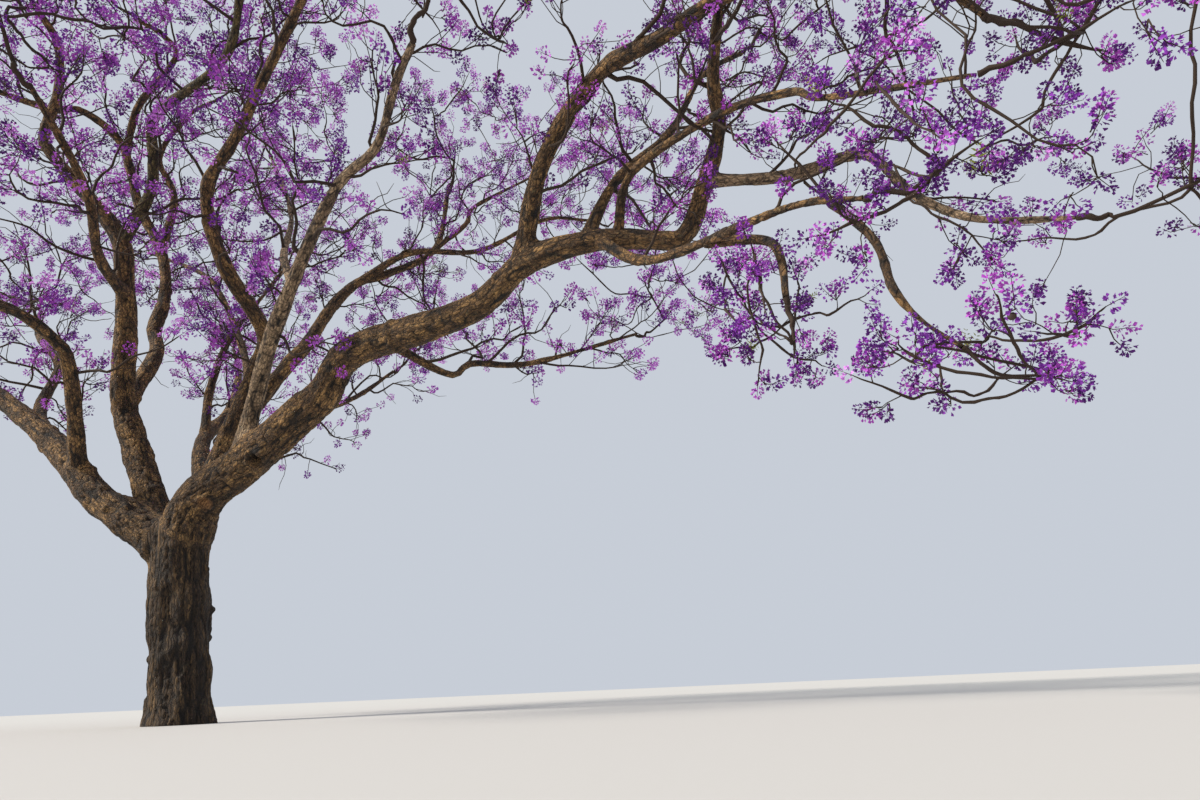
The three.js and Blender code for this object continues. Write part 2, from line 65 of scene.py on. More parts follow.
NEARLY_PARALLEL = 1e-15
NEARLY_UPRIGHT = 0.9
STEEP = 0.8

# Trunk
TRUNK_DIAMETER = 0.67
FORK_DIAMETER = 0.69
TRUNK_HEADING = 180
TRUNK_RISE = 80
TRUNK_LENGTH = 2.15
ROOT_FLARE = 0.2
ROOT_FLARE_HEIGHT = 0.26
ROOT_LOBES = 5
LOBE_DEPTH = 0.45
LOBE_TURN = 0.8
FLUTES = 3
FLUTE_DEPTH = 0.045
FLUTE_TWIST_HEIGHT = 0.9
# Each rib: a count round the trunk, a depth, a turn and a twist per metre of height
RIBS = ((4, 0.022, 1.3, 0.35), (7, 0.014, 2.0, -0.6), (11, 0.009, 0.4, 0.5))
DOME_HEIGHT = 0.22
LEAST_DOME = 0.05

# Boughs
TOUCH_GAP = 0.0003
COLLAR_SWELL = 0.22
COLLAR_FADE = 0.6
SEAT_SHARE = 0.85
SUNK_SHARE = 0.5
SPINE_STEPS_PER_RUN = 4
LINE_SAMPLES = 401

# Twigs and heads of blossom
STEM_LENGTH = 0.26
TWIG_END_RADIUS = 0.013
TWIG_TAPER_REACH = 1.5
FOOT_SHARE = 0.7
SPRAY_LENGTH = 0.88
SPRAY_WIDTH = 0.6
SPRAY_BELLY = 0.45
SPRAY_UPWARD = 0.55
SMALLEST_SPRAY = 0.85
LARGEST_SPRAY = 1.15
SPRAY_ROOM = 0.85
SPOTS_PER_MASS = 20
CANDIDATES = 14
INNER_REACH = 0.25
OUTER_REACH = 0.7
CELL_MARGIN = 0.012
LIMB_MARGIN = 0.025
PATH_WEIGHT = 0.3
MOST_FORKS = 3
JOINTS_TRIED = 5
LOWEST_TWIG = 1.55
FULL_SIZE_RADIUS = 1.7
FIRST_SEED = 100

# Each limb: parent, where it leaves the parent's centre line (0 foot, 1 tip), foot and tip diameter,
# and its runs as (heading, rise, length). Heading 0 is +X and 90 is +Y. bloom is the mass of blossom
# on its tip: (radius, half height, forward, lift), the last two as shares of the radius.
LIMBS = {
    "big_bough": {
        "parent": "trunk", "at": 0.94, "foot": 0.56, "tip": 0.19,
        "runs": [(-40, 64, 0.7), (-25, 26, 0.8), (-35, 19, 0.8), (-30, 25, 0.8), (-35, 36, 0.65),
                 (-30, 0, 1.75), (-38, 16, 0.85), (-25, 0, 0.8), (-10, -10, 0.7)],
    },
    "left_bough": {
        "parent": "trunk", "at": 0.93, "foot": 0.47, "tip": 0.11,
        "runs": [(180, 34, 1.45), (165, 40, 1.65), (170, 34, 2.6), (175, 30, 1.35)],
        "bloom": (1.9, 1.3, 0.5, 0.3),
    },
    "middle_bough": {
        "parent": "trunk", "at": 0.98, "foot": 0.43, "tip": 0.08,
        "runs": [(155, 40, 0.8), (165, 60, 0.65), (180, 65, 0.65), (-150, 70, 0.6), (-75, 65, 1.1),
                 (-80, 60, 0.5), (-100, 65, 0.7), (-155, 48, 1.35), (-155, 60, 0.4), (-45, 65, 0.65),
                 (-75, 60, 0.65), (-100, 30, 0.45)],
        "bloom": (1.7, 1.1, 0.3, 0.3),
    },
    "dark_riser": {
        "parent": "trunk", "at": 1, "foot": 0.3, "tip": 0.09,
        "runs": [(70, 75, 0.95), (30, 75, 0.65), (-35, 62, 1.1), (-60, 40, 0.5), (-110, 38, 1.05),
                 (-90, 48, 0.9), (-45, 18, 0.95), (-45, 25, 1.85)],
        "bloom": (1.7, 1.2, 0.5, 0.35),
    },
    "back_bough": {
        "parent": "trunk", "at": 1, "foot": 0.32, "tip": 0.09,
        "runs": [(110, 45, 1.2), (125, 48, 1.5), (105, 38, 1.6), (115, 45, 1.5), (125, 45, 1.3)],
        "bloom": (2, 1.3, 0.45, 0.3),
    },
    "arch_bough": {
        "parent": "big_bough", "at": 0.77, "foot": 0.2, "tip": 0.07,
        "runs": [(-65, 50, 1), (-50, 25, 0.95), (-48, -15, 0.85), (-35, 5, 0.45), (-20, 0, 0.55),
                 (-10, -5, 0.6), (0, -20, 0.5), (5, -45, 0.45)],
        "bloom": (1.5, 1, 0.4, 0.2),
    },
    "elbow_riser": {
        "parent": "big_bough", "at": 1, "foot": 0.19, "tip": 0.07,
        "runs": [(-12, -5, 0.1), (-35, 42, 0.2), (-70, 37, 0.3), (-65, 44, 0.3), (-80, 36, 0.3),
                 (-105, 36, 0.35), (-90, 25, 0.45), (-85, 40, 0.55)],
        "bloom": (1.6, 1.1, 0.35, 0.4),
    },
    "pale_riser": {
        "parent": "big_bough", "at": 0.21, "foot": 0.24, "tip": 0.07,
        "runs": [(-55, 50, 1.05), (-55, 40, 0.95), (-50, 30, 1.8), (-35, 20, 0.75), (-55, 40, 0.65),
                 (-55, 15, 0.5)],
        "bloom": (1.7, 1.2, 0.4, 0.45),
    },
    "inner_left": {
        "parent": "middle_bough", "at": 0.32, "foot": 0.25, "tip": 0.08,
        "runs": [(100, 60, 1.25), (140, 60, 0.65), (90, 80, 0.5), (140, 75, 0.65), (180, 70, 0.65),
                 (-165, 60, 0.85), (-125, 65, 1.15), (-140, 30, 0.75), (-150, -18, 0.45),
                 (-155, 10, 1.35)],
        "bloom": (1.9, 1.2, 0.5, 0.2),
    },
    "shoulder_bough": {
        "parent": "dark_riser", "at": 0.25, "foot": 0.24, "tip": 0.07,
        "runs": [(35, 60, 0.25), (-5, 55, 1.05), (40, 60, 0.45), (60, 65, 0.95), (30, 55, 0.6),
                 (25, 30, 0.5), (45, 45, 1.25), (60, 80, 1.55)],
        "bloom": (1.8, 1.1, 0.2, 0.35),
    },
    "left_riser": {
        "parent": "left_bough", "at": 0.34, "foot": 0.22, "tip": 0.07,
        "runs": [(-75, 50, 1.5), (-85, 25, 0.5), (-90, 5, 0.5), (-85, -10, 0.7), (-110, 10, 0.85)],
        "bloom": (1.7, 1.1, 0.4, 0.4),
    },
    "mossy_riser": {
        "parent": "middle_bough", "at": 0.57, "foot": 0.16, "tip": 0.09,
        "runs": [(-35, 40, 0.8), (-60, 40, 0.5), (-85, 65, 0.45), (-40, 5, 0.45), (-35, -5, 1.5),
                 (-55, 35, 0.85)],
        "bloom": (1.6, 1.1, 0.4, 0.4),
    },
    "inner_left_riser": {
        "parent": "inner_left", "at": 0.68, "foot": 0.14, "tip": 0.06,
        "runs": [(-55, 50, 0.5), (-45, 30, 0.5), (-35, 15, 1.1), (-110, 35, 0.35), (-135, 5, 0.4)],
        "bloom": (1.5, 0.9, 0.2, 0.2),
    },
    "inner_middle": {
        "parent": "inner_left", "at": 0.48, "foot": 0.14, "tip": 0.06,
        "runs": [(-50, 75, 1), (-145, 65, 0.8), (-20, 55, 0.9), (-20, 10, 0.6)],
        "bloom": (1.7, 1, 0.5, 0.2),
    },
    "crook_branch": {
        "parent": "dark_riser", "at": 0.32, "foot": 0.12, "tip": 0.06,
        "runs": [(125, 50, 1.2), (140, 50, 2.1), (160, 45, 0.85), (150, 30, 2)],
        "bloom": (1.6, 1, 0.3, 0.3),
    },
    "pale_side": {
        "parent": "pale_riser", "at": 0.39, "foot": 0.1, "tip": 0.05,
        "runs": [(135, 55, 0.7), (115, 60, 1.2), (145, 60, 1.5)],
        "bloom": (1.5, 1, 0.2, 0.4),
    },
    "shoulder_side": {
        "parent": "shoulder_bough", "at": 0.87, "foot": 0.1, "tip": 0.05,
        "runs": [(20, 50, 0.85), (65, 65, 0.6), (40, 45, 1.7)],
        "bloom": (1.9, 1.1, 0.6, 0),
    },
    "right_reach": {
        "parent": "elbow_riser", "at": 0.41, "foot": 0.12, "tip": 0.045,
        "runs": [(-20, -14, 0.7), (-15, 8, 0.55), (-25, -25, 0.2), (-65, -63, 0.7), (-40, -47, 0.55),
                 (-32, -22, 0.6)],
        "bloom": (1.6, 1, 0.5, 0.45),
    },
    "arc_branch": {
        "parent": "big_bough", "at": 0.92, "foot": 0.09, "tip": 0.04,
        "runs": [(-70, 45, 0.6), (-50, -5, 1.05), (-45, -20, 0.7), (-55, -45, 0.4), (-40, -25, 1)],
        "bloom": (1.3, 0.8, 0.4, 0.15),
    },
    "low_reach": {
        "parent": "big_bough", "at": 0.89, "foot": 0.11, "tip": 0.05,
        "runs": [(-55, -40, 1), (-55, -15, 1.5), (-50, -25, 0.6)],
        "bloom": (1.1, 0.7, 0.4, 0.2),
    },
    "drooper": {
        "parent": "low_reach", "at": 0.83, "foot": 0.055, "tip": 0.03,
        "runs": [(0, -55, 0.4), (-70, -80, 0.38), (-25, -65, 0.26), (-20, -50, 0.27)],
        "bloom": (0.7, 0.45, 0.2, 0.05),
    },
    "stub_drooper": {
        "parent": "low_reach", "at": 0.48, "foot": 0.09, "tip": 0.05,
        "runs": [(-15, -10, 0.45), (-25, -60, 0.21), (-110, -80, 0.38)],
        "bloom": (0.7, 0.45, 0.25, 0.05),
    },
    "under_branch": {
        "parent": "big_bough", "at": 0.59, "foot": 0.11, "tip": 0.05,
        "runs": [(45, -12, 0.9), (52, 36, 0.45), (40, 15, 0.95), (30, 25, 1.85)],
        "bloom": (1.7, 1, 0.5, 0.3),
    },
    "back_left": {
        "parent": "left_bough", "at": 0.48, "foot": 0.2, "tip": 0.07,
        "runs": [(140, 35, 1.3), (125, 45, 1.7), (145, 35, 1.8), (135, 40, 1.5)],
        "bloom": (1.9, 1.2, 0.5, 0.3),
    },
    "back_right": {
        "parent": "back_bough", "at": 0.16, "foot": 0.2, "tip": 0.07,
        "runs": [(80, 45, 1.1), (45, 50, 1.2), (65, 35, 1.5), (45, 45, 1)],
        "bloom": (2, 1.3, 0.5, 0.3),
    },
    "back_high": {
        "parent": "back_bough", "at": 0.42, "foot": 0.16, "tip": 0.06,
        "runs": [(130, 75, 0.95), (70, 78, 1.15), (80, 60, 1.2), (60, 65, 0.9)],
        "bloom": (1.8, 1.1, 0.3, 0.35),
    },
    "high_right": {
        "parent": "big_bough", "at": 0.87, "foot": 0.12, "tip": 0.05,
        "runs": [(-20, 60, 0.7), (20, 50, 1), (5, 62, 0.9), (30, 45, 0.9)],
        "bloom": (1.6, 1, 0.4, 0.3),
    },
    "shoulder_reach": {
        "parent": "shoulder_bough", "at": 0.62, "foot": 0.13, "tip": 0.05,
        "runs": [(5, 35, 1), (25, 15, 1.2), (5, 30, 1.3), (20, 10, 0.9)],
        "bloom": (1.8, 1.1, 0.4, 0.3),
    },
    "top_right": {
        "parent": "arch_bough", "at": 0.6, "foot": 0.09, "tip": 0.045,
        "runs": [(-20, 45, 0.6), (10, 30, 0.7), (25, 45, 0.7), (5, 20, 0.6)],
        "bloom": (1.5, 1, 0.4, 0.3),
    },
    "front_left": {
        "parent": "middle_bough", "at": 0.47, "foot": 0.16, "tip": 0.07,
        "runs": [(-75, 0, 1), (-65, 10, 1.2), (-85, 20, 1.2)],
        "bloom": (1.7, 1.1, 0.4, 0.4),
    },
}

# Skin of bark
# Limbs at least MERGED_FOOT thick are grown together with the trunk, and those at least GREAT_FOOT thick
# also take part in the coarse skin that fills the great forks.
MERGED_FOOT = 0.1
GREAT_FOOT = 0.2
COARSE_VOXEL = 0.045
COARSE_ROUNDS = 36
BARK_VOXEL = 0.02
FILLET_ROUNDS = 12
FILL_STEP = 0.6
TRUNK_START = -0.08
TRUNK_RING_GAP = 0.04
TRUNK_TUBE_SIDES = 96
TUBE_RING_GAP = 0.12
TUBE_SIDES = 20
THIN_LIMB_RING_GAP = 0.035
THIN_LIMB_SIDES = 12
AXIS_STEP = 0.07
OWN_REACH = 0.75
OWN_MARGIN = 0.12
BORDER_FADE = 0.03

# Bark relief
# Plates are FISSURE_LENGTH long on the trunk and PLATE_LENGTH long on the limbs.
FISSURE_WIDTH = 0.044
FISSURE_LENGTH = 0.46
PLATE_LENGTH = 0.13
FISSURE_SHARE = 0.3
FISSURE_DEPTH = 0.02
SCALE_WIDTH = 0.034
SCALE_LENGTH = 0.07
SCALE_DEPTH = 0.007
LUMP_SIZE = 0.28
LUMP_DEPTH = 0.03
KNOT_SIZE = 0.16
KNOT_LEVEL = 0.45
KNOT_SPAN = 0.5
KNOT_DEPTH = 0.05
FULL_RELIEF_RADIUS = 0.28
LEAST_RELIEF = 0.22
SCALE_SEED = 40
LUMP_SEED = 80
KNOT_SEED = 120
THIN_LIMB_SEED = 50

# Knot hole and scar of a cut bough
# Each one: centre, radius, swell of its rim, depth and how bare it is.
SCARS = (
    ((0.877, -0.885, 2.918), 0.1, 0.045, 0.16, 0.0),
    ((0.105, -0.44, 2.532), 0.085, 0.022, 0.03, 0.7),
)
# In shares of the radius
RIM_PLACE = 1.1
RIM_WIDTH = 0.4
FLOOR_EDGE = 0.62
BARE_EDGE = 0.95
# Painted shade fills the knot hole out to this share of its radius.
HOLE_SHADE_EDGE = 0.7

# Barks
# Each one: its dark, middle and light colours, its lichen, the strength of its bump and how far its
# scales are drawn out along the limb.
BARKS = {
    "grey_brown": (
        (0.022, 0.014, 0.008), (0.118, 0.069, 0.032), (0.39, 0.24, 0.10), (0.27, 0.21, 0.10), 1.0, 2.2,
    ),
    "trunk": (
        (0.022, 0.014, 0.008), (0.100, 0.061, 0.031), (0.30, 0.190, 0.088), (0.20, 0.16, 0.08), 1.0, 6.0,
    ),
    "pale": (
        (0.07, 0.05, 0.034), (0.20, 0.145, 0.097), (0.42, 0.32, 0.215), (0.32, 0.27, 0.18), 0.6, 2.5,
    ),
    "mossy": (
        (0.024, 0.019, 0.008), (0.10, 0.080, 0.033), (0.27, 0.215, 0.09), (0.15, 0.17, 0.045), 1.0, 2.2,
    ),
}
BARK_KINDS = {"trunk": "trunk", "pale_riser": "pale", "right_reach": "pale", "pale_side": "pale",
              "mossy_riser": "mossy"}
# Painted shade under the crown: below the first of the heights the bark is darkened to the low share of its
# colour, and above the second it has its full colour.
LOW_PAINTED_SHADE = 0.4
PAINTED_SHADE_HEIGHTS = (1.2, 3.4)
BARK_ROUGHNESS = (0.75, 1.0)
SCAR_COLOUR = (0.26, 0.135, 0.06)
# Near-black in the fissures: partly the bark's own dark furrows and partly painted shade in the grooves and
# the knot hole.
FISSURE_AND_SHADE_COLOUR = (0.010, 0.007, 0.005)
FISSURE_AND_SHADE_EDGES = (0.2, 0.9)
LICHEN_SCALE = 16.0
LICHEN_EDGES = (0.6, 0.78)
DRIFT_SCALE = 14.0
DRIFT_REACH = (0.06, 0.06, 0.12)
PATCH_SCALE = 8.0
PATCH_STOPS = (0.3, 0.48, 0.68)
GRAIN_SCALE = 60.0
GRAIN_TONES = ((0.34, (0.3, 0.28, 0.26)), (0.66, (1.9, 1.8, 1.65)))
GRAIN_SHARE = 0.85
PLATE_SCALE = 27.0
CRACK_EDGE = 0.25
CRACK_TONES = ((0.0, (0.12, 0.11, 0.1)), (0.75, (1.3, 1.27, 1.2)))
CRACK_SHARE = 0.75
CRACK_HEIGHT = 0.7
BUMP_DEPTH = 0.022

# Main twigs, by the source's rule
AXIS_REACH = 0.85
LOWER_RINGS = 11
HEAD_RINGS = 4
TWIG_SIDES = 6
WAY_KEPT = 0.3
TWIG_SINK = 0.01
TWIG_BEND = 0.02
TWIG_SWEEP = 0.65
TWIG_SLIMMING = 0.72
BEARING_TWIG_SHARE = 0.95
LAST_TWIG_SHARE = 0.7
UNEVEN_RADIUS = 0.08

# Bunches of panicles in a head
FEWEST_BUNCHES = 3
MOST_BUNCHES = 6
FEWEST_IN_BUNCH = 2
MOST_IN_BUNCH = 4
JOINT_STEP = 0.08
HEAD_START = 0.14
HEAD_RISE = 0.62
HEAD_SPREAD = 0.42
WIDEST_SHARE = 0.475
LEAST_BULGE = 0.04
GOLDEN_TURN = math.radians(137.5)
BUNCH_HEIGHTS = (0.2, 0.8)
BUNCH_WIDTHS = (0.5, 1.0)
BUNCH_OUTWARD = (0.3, 0.9)
BUNCH_ONWARD = 0.4
BUNCH_UPWARD = (0.3, 0.7)
BUNCH_REACH = (0.05, 0.12)
FIRST_PANICLE_SIZES = (0.85, 1.2)
PANICLE_SIZES = (0.7, 1.1)
PANICLE_STRAY = 0.7
PANICLE_KEPT = 0.6
PANICLE_ONWARD = 0.5
PANICLE_UPWARD = 0.25
PANICLE_JOINTS = (0.6, 0.95)

# Fine twigs
FINE_TWIG_RADIUS = 0.0065
FINE_TWIG_TIP = 0.003
FINE_TWIG_TAPER = (1, 0.9, 0.8, 0.7, 0.35)
FINE_TWIG_BEND = 0.14
FINE_TWIG_SIDES = 3
STALK_SHARE = 0.9

# Flowers
PANICLE_LENGTH = 0.15
PANICLE_WIDTH = 0.058
PANICLE_START = 0.22
PANICLE_SPAN = 0.7
FLOWERS_PER_PANICLE = 30
OPEN_FLOWERS = list(range(2, FLOWERS_PER_PANICLE, 6))
CLOSED_FLOWERS = [k for k in range(FLOWERS_PER_PANICLE) if k not in OPEN_FLOWERS]
FLOWER_LENGTH = 0.04
FLOWER_SIZES = (0.75, 1.2)
LOWEST_FLOWER_SIZE = 1.05
FLOWER_SHRINK = 0.3
FLOWER_REACH = (0.3, 1.1)
FLOWER_ONWARD = 0.1
TOP_FLOWER_ONWARD = 0.8
FLOWER_NOD = 0.3
TURN_STRAY = 0.35
HEIGHT_STRAY = 0.06
WAY_STRAY = 0.3
LOBES = 5
THROAT_HEIGHT = 0.7
THROAT_RADIUS = 0.28
LOBE_RADIUS = 0.55
BELL_RADIUS = 0.4
BELL_FOLD = 0.14
BELL_SIDE_HEIGHTS = (0.62, 0.7)

# Long arm
# From ARM_START to ARM_END, measured as X minus Y, the flowers get smaller and painted shade makes their
# tints deeper.
ARM_START = 7.0
ARM_END = 11.0
ARM_SHRINK = 0.3
ARM_PAINTED_SHADE = 1.1

# Side branches on the thin parts of the limbs
# They stay inside CROWN_BOX, which is given by its lowest and its highest corner.
CROWN_BOX = ((-8.2, -7.0, 2.3), (10.2, 6.6, 11.7))
LOWEST_BRANCH = 3.6
THICKEST_WITH_BRANCHES = 0.1
BRANCH_START = 0.6
BRANCH_END = 0.15
BRANCH_GAP = 0.3
BRANCH_STRAY = 0.4
BRANCH_LENGTHS = (0.5, 1.5)
BRANCH_LIFTS = (-0.4, 0.6)
BRANCH_SWAY = 0.25
BRANCH_ONWARD = 0.7
BRANCH_SEAT = 0.5
BRANCH_CLEARANCE = 0.05
BRANCH_FOOT_SHARE = 0.45
BRANCH_FOOT = 0.008
BRANCH_FOOT_RISE = 0.011
BRANCH_TIP_SHARE = 0.35
BRANCH_BEND = 0.055
BRANCH_RINGS = 12
BRANCH_SIDES = 5
BRANCH_BLOOM_UPWARD = 0.5
FIRST_SPRIG_RING = 3
SPRIG_LENGTHS = (0.15, 0.5)
SPRIG_STRAY = 0.75
SPRIG_UPWARD = 0.3
SPRIG_BLOOM_UPWARD = 0.4
SPRIG_BLOOM_SHARE = 0.75

# Young leaves and seed pods
LEAF_TUFTS = 130
FRONDS_PER_TUFT = 5
FROND_LENGTHS = (0.09, 0.17)
FROND_STRAY = 0.55
FROND_PAIRS = 5
FROND_START = 0.15
FROND_SPAN = 0.8
FROND_WIDTH = 0.3
FROND_BEND = 0.16
LEAFLET_RISE = (0.02, 0.12)
LEAFLET_MIDDLE = 0.45
LEAFLET_HALF_WIDTH = 0.04
POD_COUNT = 90
POD_SIZES = (0.035, 0.05)
POD_FLATNESS = 0.16
POD_PLACE = 0.6
POD_STRAY = 0.25

# Colours of the blossom, dealt out by spray. Their spread is partly the flowers' own and partly painted
# light and shade: pale is the colour of lit flowers and plum that of shaded ones.
TINTS = {
    "pale": (0.70, 0.27, 0.82),
    "lilac": (0.52, 0.13, 0.66),
    "orchid": (0.41, 0.07, 0.51),
    "violet": (0.24, 0.038, 0.41),
    "plum": (0.10, 0.014, 0.19),
}
# How common each tint is, and how much more or less so higher in a head: painted light makes the tints paler
# at the top of a head and painted shade deeper low down.
TINT_SHARES = (0.13, 0.23, 0.25, 0.23, 0.16)
TINT_LIFTS = (1.0, 0.5, 0.0, -0.5, -1.0)
PAINTED_LIGHT_AND_SHADE_RISE = 1.2
HALFWAY = 0.5

# Looks of the small things, each a colour and a roughness
MATT = 0.9
BLOSSOM_ROUGHNESS = 0.6
TWIG_LOOK = ((0.045, 0.030, 0.021), 0.85)
YOUNG_LEAF_LOOK = ((0.25, 0.28, 0.03), 0.5)
POD_LOOK = ((0.03, 0.018, 0.012), 0.6)
SMALL_THING_GLOSS = 0.25
SMALL_THING_GRAIN = 120.0
SMALL_THING_BUMP = 0.002

# The most triangles of a piece of fine twigs or blossom
PIECE_TRIANGLES = 190000

# Stage
FLOOR_SIZE = 300
FLOOR_DROP = 0.002
FLOOR_COLOUR = (0.53, 0.52, 0.50)
SKY_COLOUR = (0.84, 0.90, 1.0)
SKY_STRENGTH = 0.68
SUN_STRENGTH = 4.8
SUN_SPREAD = 12
SUN_COLOUR = (1.0, 0.93, 0.82)
SUN_FROM = (-0.85, -0.22, 0.62)

# Camera, as solved from the photograph
CAMERA_PLACE = (5.06, -9.27, 0.18)
CAMERA_PITCH = 21.6
CAMERA_ROLL = 2.5
CAMERA_LENS = 21.93
SENSOR_WIDTH = 36
CAMERA_SIGHT = 1000


# Centre lines
def direction(heading, rise):
    """The unit vector of a run."""
    h, r = math.radians(heading), math.radians(rise)
    return np.array([math.cos(r) * math.cos(h), math.cos(r) * math.sin(h), math.sin(r)])


def unit(vectors):
    """Vectors made one metre long."""
    lengths = np.linalg.norm(vectors, axis=-1, keepdims=True)
    return vectors / np.maximum(lengths, SMALLEST_LENGTH)


def hints(ways):
    """A direction well off each unit vector: up, or +X where the vector is steep."""
    return np.where(np.abs(ways[..., 2:]) > STEEP, [1.0, 0, 0], [0, 0, 1.0])


def square_to(ways):
    """A side and a front direction square to each unit vector."""
    side = unit(np.cross(ways, hints(ways)))
    return side, np.cross(ways, side)


class Limb:
    """A smooth line through its bends, with a radius that shrinks evenly from its foot to its tip."""

    def __init__(self, name, parent, foot, tip, runs, at=0, bloom=None):
        self.name, self.parent, self.foot, self.tip, self.bloom = name, parent, foot, tip, bloom
        self.runs = runs
        self.continues = parent is not None and at == 1 and parent.name != "trunk"
        start = parent.point(at) if parent else np.zeros(3)
        if self.continues:
            start = start + parent.tangent(1.0) * TOUCH_GAP
        bends = [start]
        for heading, rise, length in runs:
            bends.append(bends[-1] + direction(heading, rise) * length)
        first = 2 * bends[0] - bends[1]
        last = 2 * bends[-1] - bends[-2]
        self.bends = np.array([first, *bends, last])
        self.shares = np.linspace(0, 1, LINE_SAMPLES)
        steps = np.linalg.norm(np.diff(self.point(self.shares), axis=0), axis=1)
        self.alongs = np.concatenate([[0], np.cumsum(steps)])
        self.length = self.alongs[-1]
        self.seat = parent.radius_at(parent.length * at) if parent and not self.continues else 0

    def point(self, share):
        """Points of the line at shares of its bends."""
        place = np.clip(np.asarray(share, float), 0, 1) * len(self.runs)
        i = np.minimum(place.astype(int), len(self.runs) - 1)
        w = (place - i)[..., None]
        p0, p1, p2, p3 = (self.bends[i + k] for k in range(4))
        t0, t1 = 0.5 * (p2 - p0), 0.5 * (p3 - p1)
        bent = (3 * (p2 - p1) - 2 * t0 - t1) * w**2 + (2 * (p1 - p2) + t0 + t1) * w**3
        return p1 + t0 * w + bent

    def tangent(self, share):
        """The line's direction at shares of its bends."""
        ahead = self.point(np.minimum(np.asarray(share, float) + SMALL_STEP, 1))
        return unit(ahead - self.point(np.maximum(np.asarray(share, float) - SMALL_STEP, 0)))

    def share_at(self, along):
        """The share of the bends at a length along the line."""
        return np.interp(along, self.alongs, self.shares)

    def radius_at(self, along):
        """The plain radius at a length along the line."""
        share = np.clip(np.asarray(along, float) / self.length, 0, 1)
        return (self.foot + (self.tip - self.foot) * share) / 2

    def axis(self, gap):
        """Evenly spaced points along the line, with a frame that doesn't twist at each."""
        count = max(2, math.ceil(self.length / gap) + 1)
        alongs = np.linspace(0, self.length, count)
        shares = self.share_at(alongs)
        centres, tangents = self.point(shares), self.tangent(shares)
        side = np.array([0.0, 0.0, 1.0])
        sides = []
        for tangent in tangents:
            side = unit(side - tangent * side.dot(tangent))
            sides.append(side)
        sides = np.array(sides)
        return alongs, centres, tangents, sides, np.cross(sides, tangents)


def grow_limbs():
    """The trunk and all limbs by name, each after its parent."""
    trunk_runs = [(TRUNK_HEADING, TRUNK_RISE, TRUNK_LENGTH)]
    limbs = {"trunk": Limb("trunk", None, TRUNK_DIAMETER, FORK_DIAMETER, trunk_runs)}
    for name, spec in LIMBS.items():
        rest = {key: value for key, value in spec.items() if key != "parent"}
        limbs[name] = Limb(name, limbs[spec["parent"]], **rest)
    return limbs


# Masses of blossom, by the same rule as in the part's source
def seeded(seed):
    """Seeded random numbers from 0 to 1, the same ones as in the part's source."""
    state = seed
    full = 0xFFFFFFFF

    def draw():
        nonlocal state
        state = (state + 0x6D2B79F5) & full
        t = ((state ^ (state >> 15)) * (1 | state)) & full
        t = ((t + (((t ^ (t >> 7)) * (61 | t)) & full)) & full) ^ t
        return ((t ^ (t >> 14)) & full) / 4294967296

    return draw


class Mass:
    """The space of a mass of blossom: an upright egg cut by flat walls halfway to its neighbours."""

    def __init__(self, limb, index):
        self.limb, self.index = limb, index
        self.radius, self.height, forward, lift = limb.bloom
        self.tip, self.tangent = limb.point(1.0), limb.tangent(1.0)
        self.centre = self.tip + self.tangent * forward * self.radius + [0, 0, lift * self.radius]
        self.twigs = []

    def meet(self, masses):
        """Keeps the neighbours' centres and radii, for the walls between them."""
        others = [other for other in masses if other is not self]
        self.others = np.array([other.centre for other in others])
        self.other_radii = np.array([other.radius for other in others])
        self.apart = np.linalg.norm(self.others - self.centre, axis=1)

    def inside(self, spot):
        """How far a spot lies inside the walls."""
        own = np.sum((spot - self.centre) ** 2) - self.radius**2
        theirs = np.sum((self.others - spot) ** 2, axis=1) - self.other_radii**2
        return np.min((theirs - own) / (2 * self.apart))


def piece_distances(a, b, starts, ends):
    """Shortest distances between the straight piece from a to b and each of many others."""
    u, v, w = b - a, ends - starts, a - starts
    uu, uv, uw = u.dot(u), v @ u, w @ u
    vv, vw = np.sum(v * v, axis=1), np.sum(v * w, axis=1)
    spread = uu * vv - uv * uv
    flat = spread < NEARLY_PARALLEL
    s = np.where(flat, 0, np.clip((uv * vw - vv * uw) / np.where(flat, 1, spread), 0, 1))
    t = np.clip((uv * s + vw) / vv, 0, 1)
    s = np.clip((uv * t - uw) / uu, 0, 1)
    return np.linalg.norm(w + s[:, None] * u - t[:, None] * v, axis=1)


def limb_spines(limbs):
    """Every limb's centre line as short straight pieces with a radius."""
    starts, ends, radii = [], [], []
    for limb in limbs.values():
        steps = len(limb.runs) * SPINE_STEPS_PER_RUN
        points = limb.point(np.arange(steps + 1) / steps)
        starts.append(points[:-1])
        ends.append(points[1:])
        radii.append(limb.radius_at(limb.length * np.arange(steps) / steps) * (1 + COLLAR_SWELL / 2))
    return np.concatenate(starts), np.concatenate(ends), np.concatenate(radii)


def spray_spots(mass, draw):
    """Spots for the sprays, spread evenly through the outer part of the mass's space."""
    spots = []
    for _ in range(SPOTS_PER_MASS):
        best, best_gap = None, -1
        for _ in range(CANDIDATES):
            turn = 2 * math.pi * draw()
            up = 2 * draw() - 1
            reach = INNER_REACH + (OUTER_REACH - INNER_REACH) * math.sqrt(draw())
            flat = math.sqrt(1 - up * up) * reach * mass.radius
            spot = mass.centre + [flat * math.cos(turn), flat * math.sin(turn), up * reach * mass.height]
            if mass.inside(spot) < TWIG_END_RADIUS or spot[2] < LOWEST_TWIG:
                continue
            gap = min([mass.radius] + [np.linalg.norm(other - spot) for other in spots])
            if gap > best_gap:
                best, best_gap = spot, gap
        if best is not None:
            spots.append(best)
    return sorted(spots, key=lambda spot: np.linalg.norm(spot - mass.tip))


def twig_radius(mass, path):
    """A twig's radius at a length of twigs from its limb's tip."""
    left = max(0, 1 - path / (TWIG_TAPER_REACH * mass.radius))
    return max(TWIG_END_RADIUS, mass.limb.tip / 2 * left)


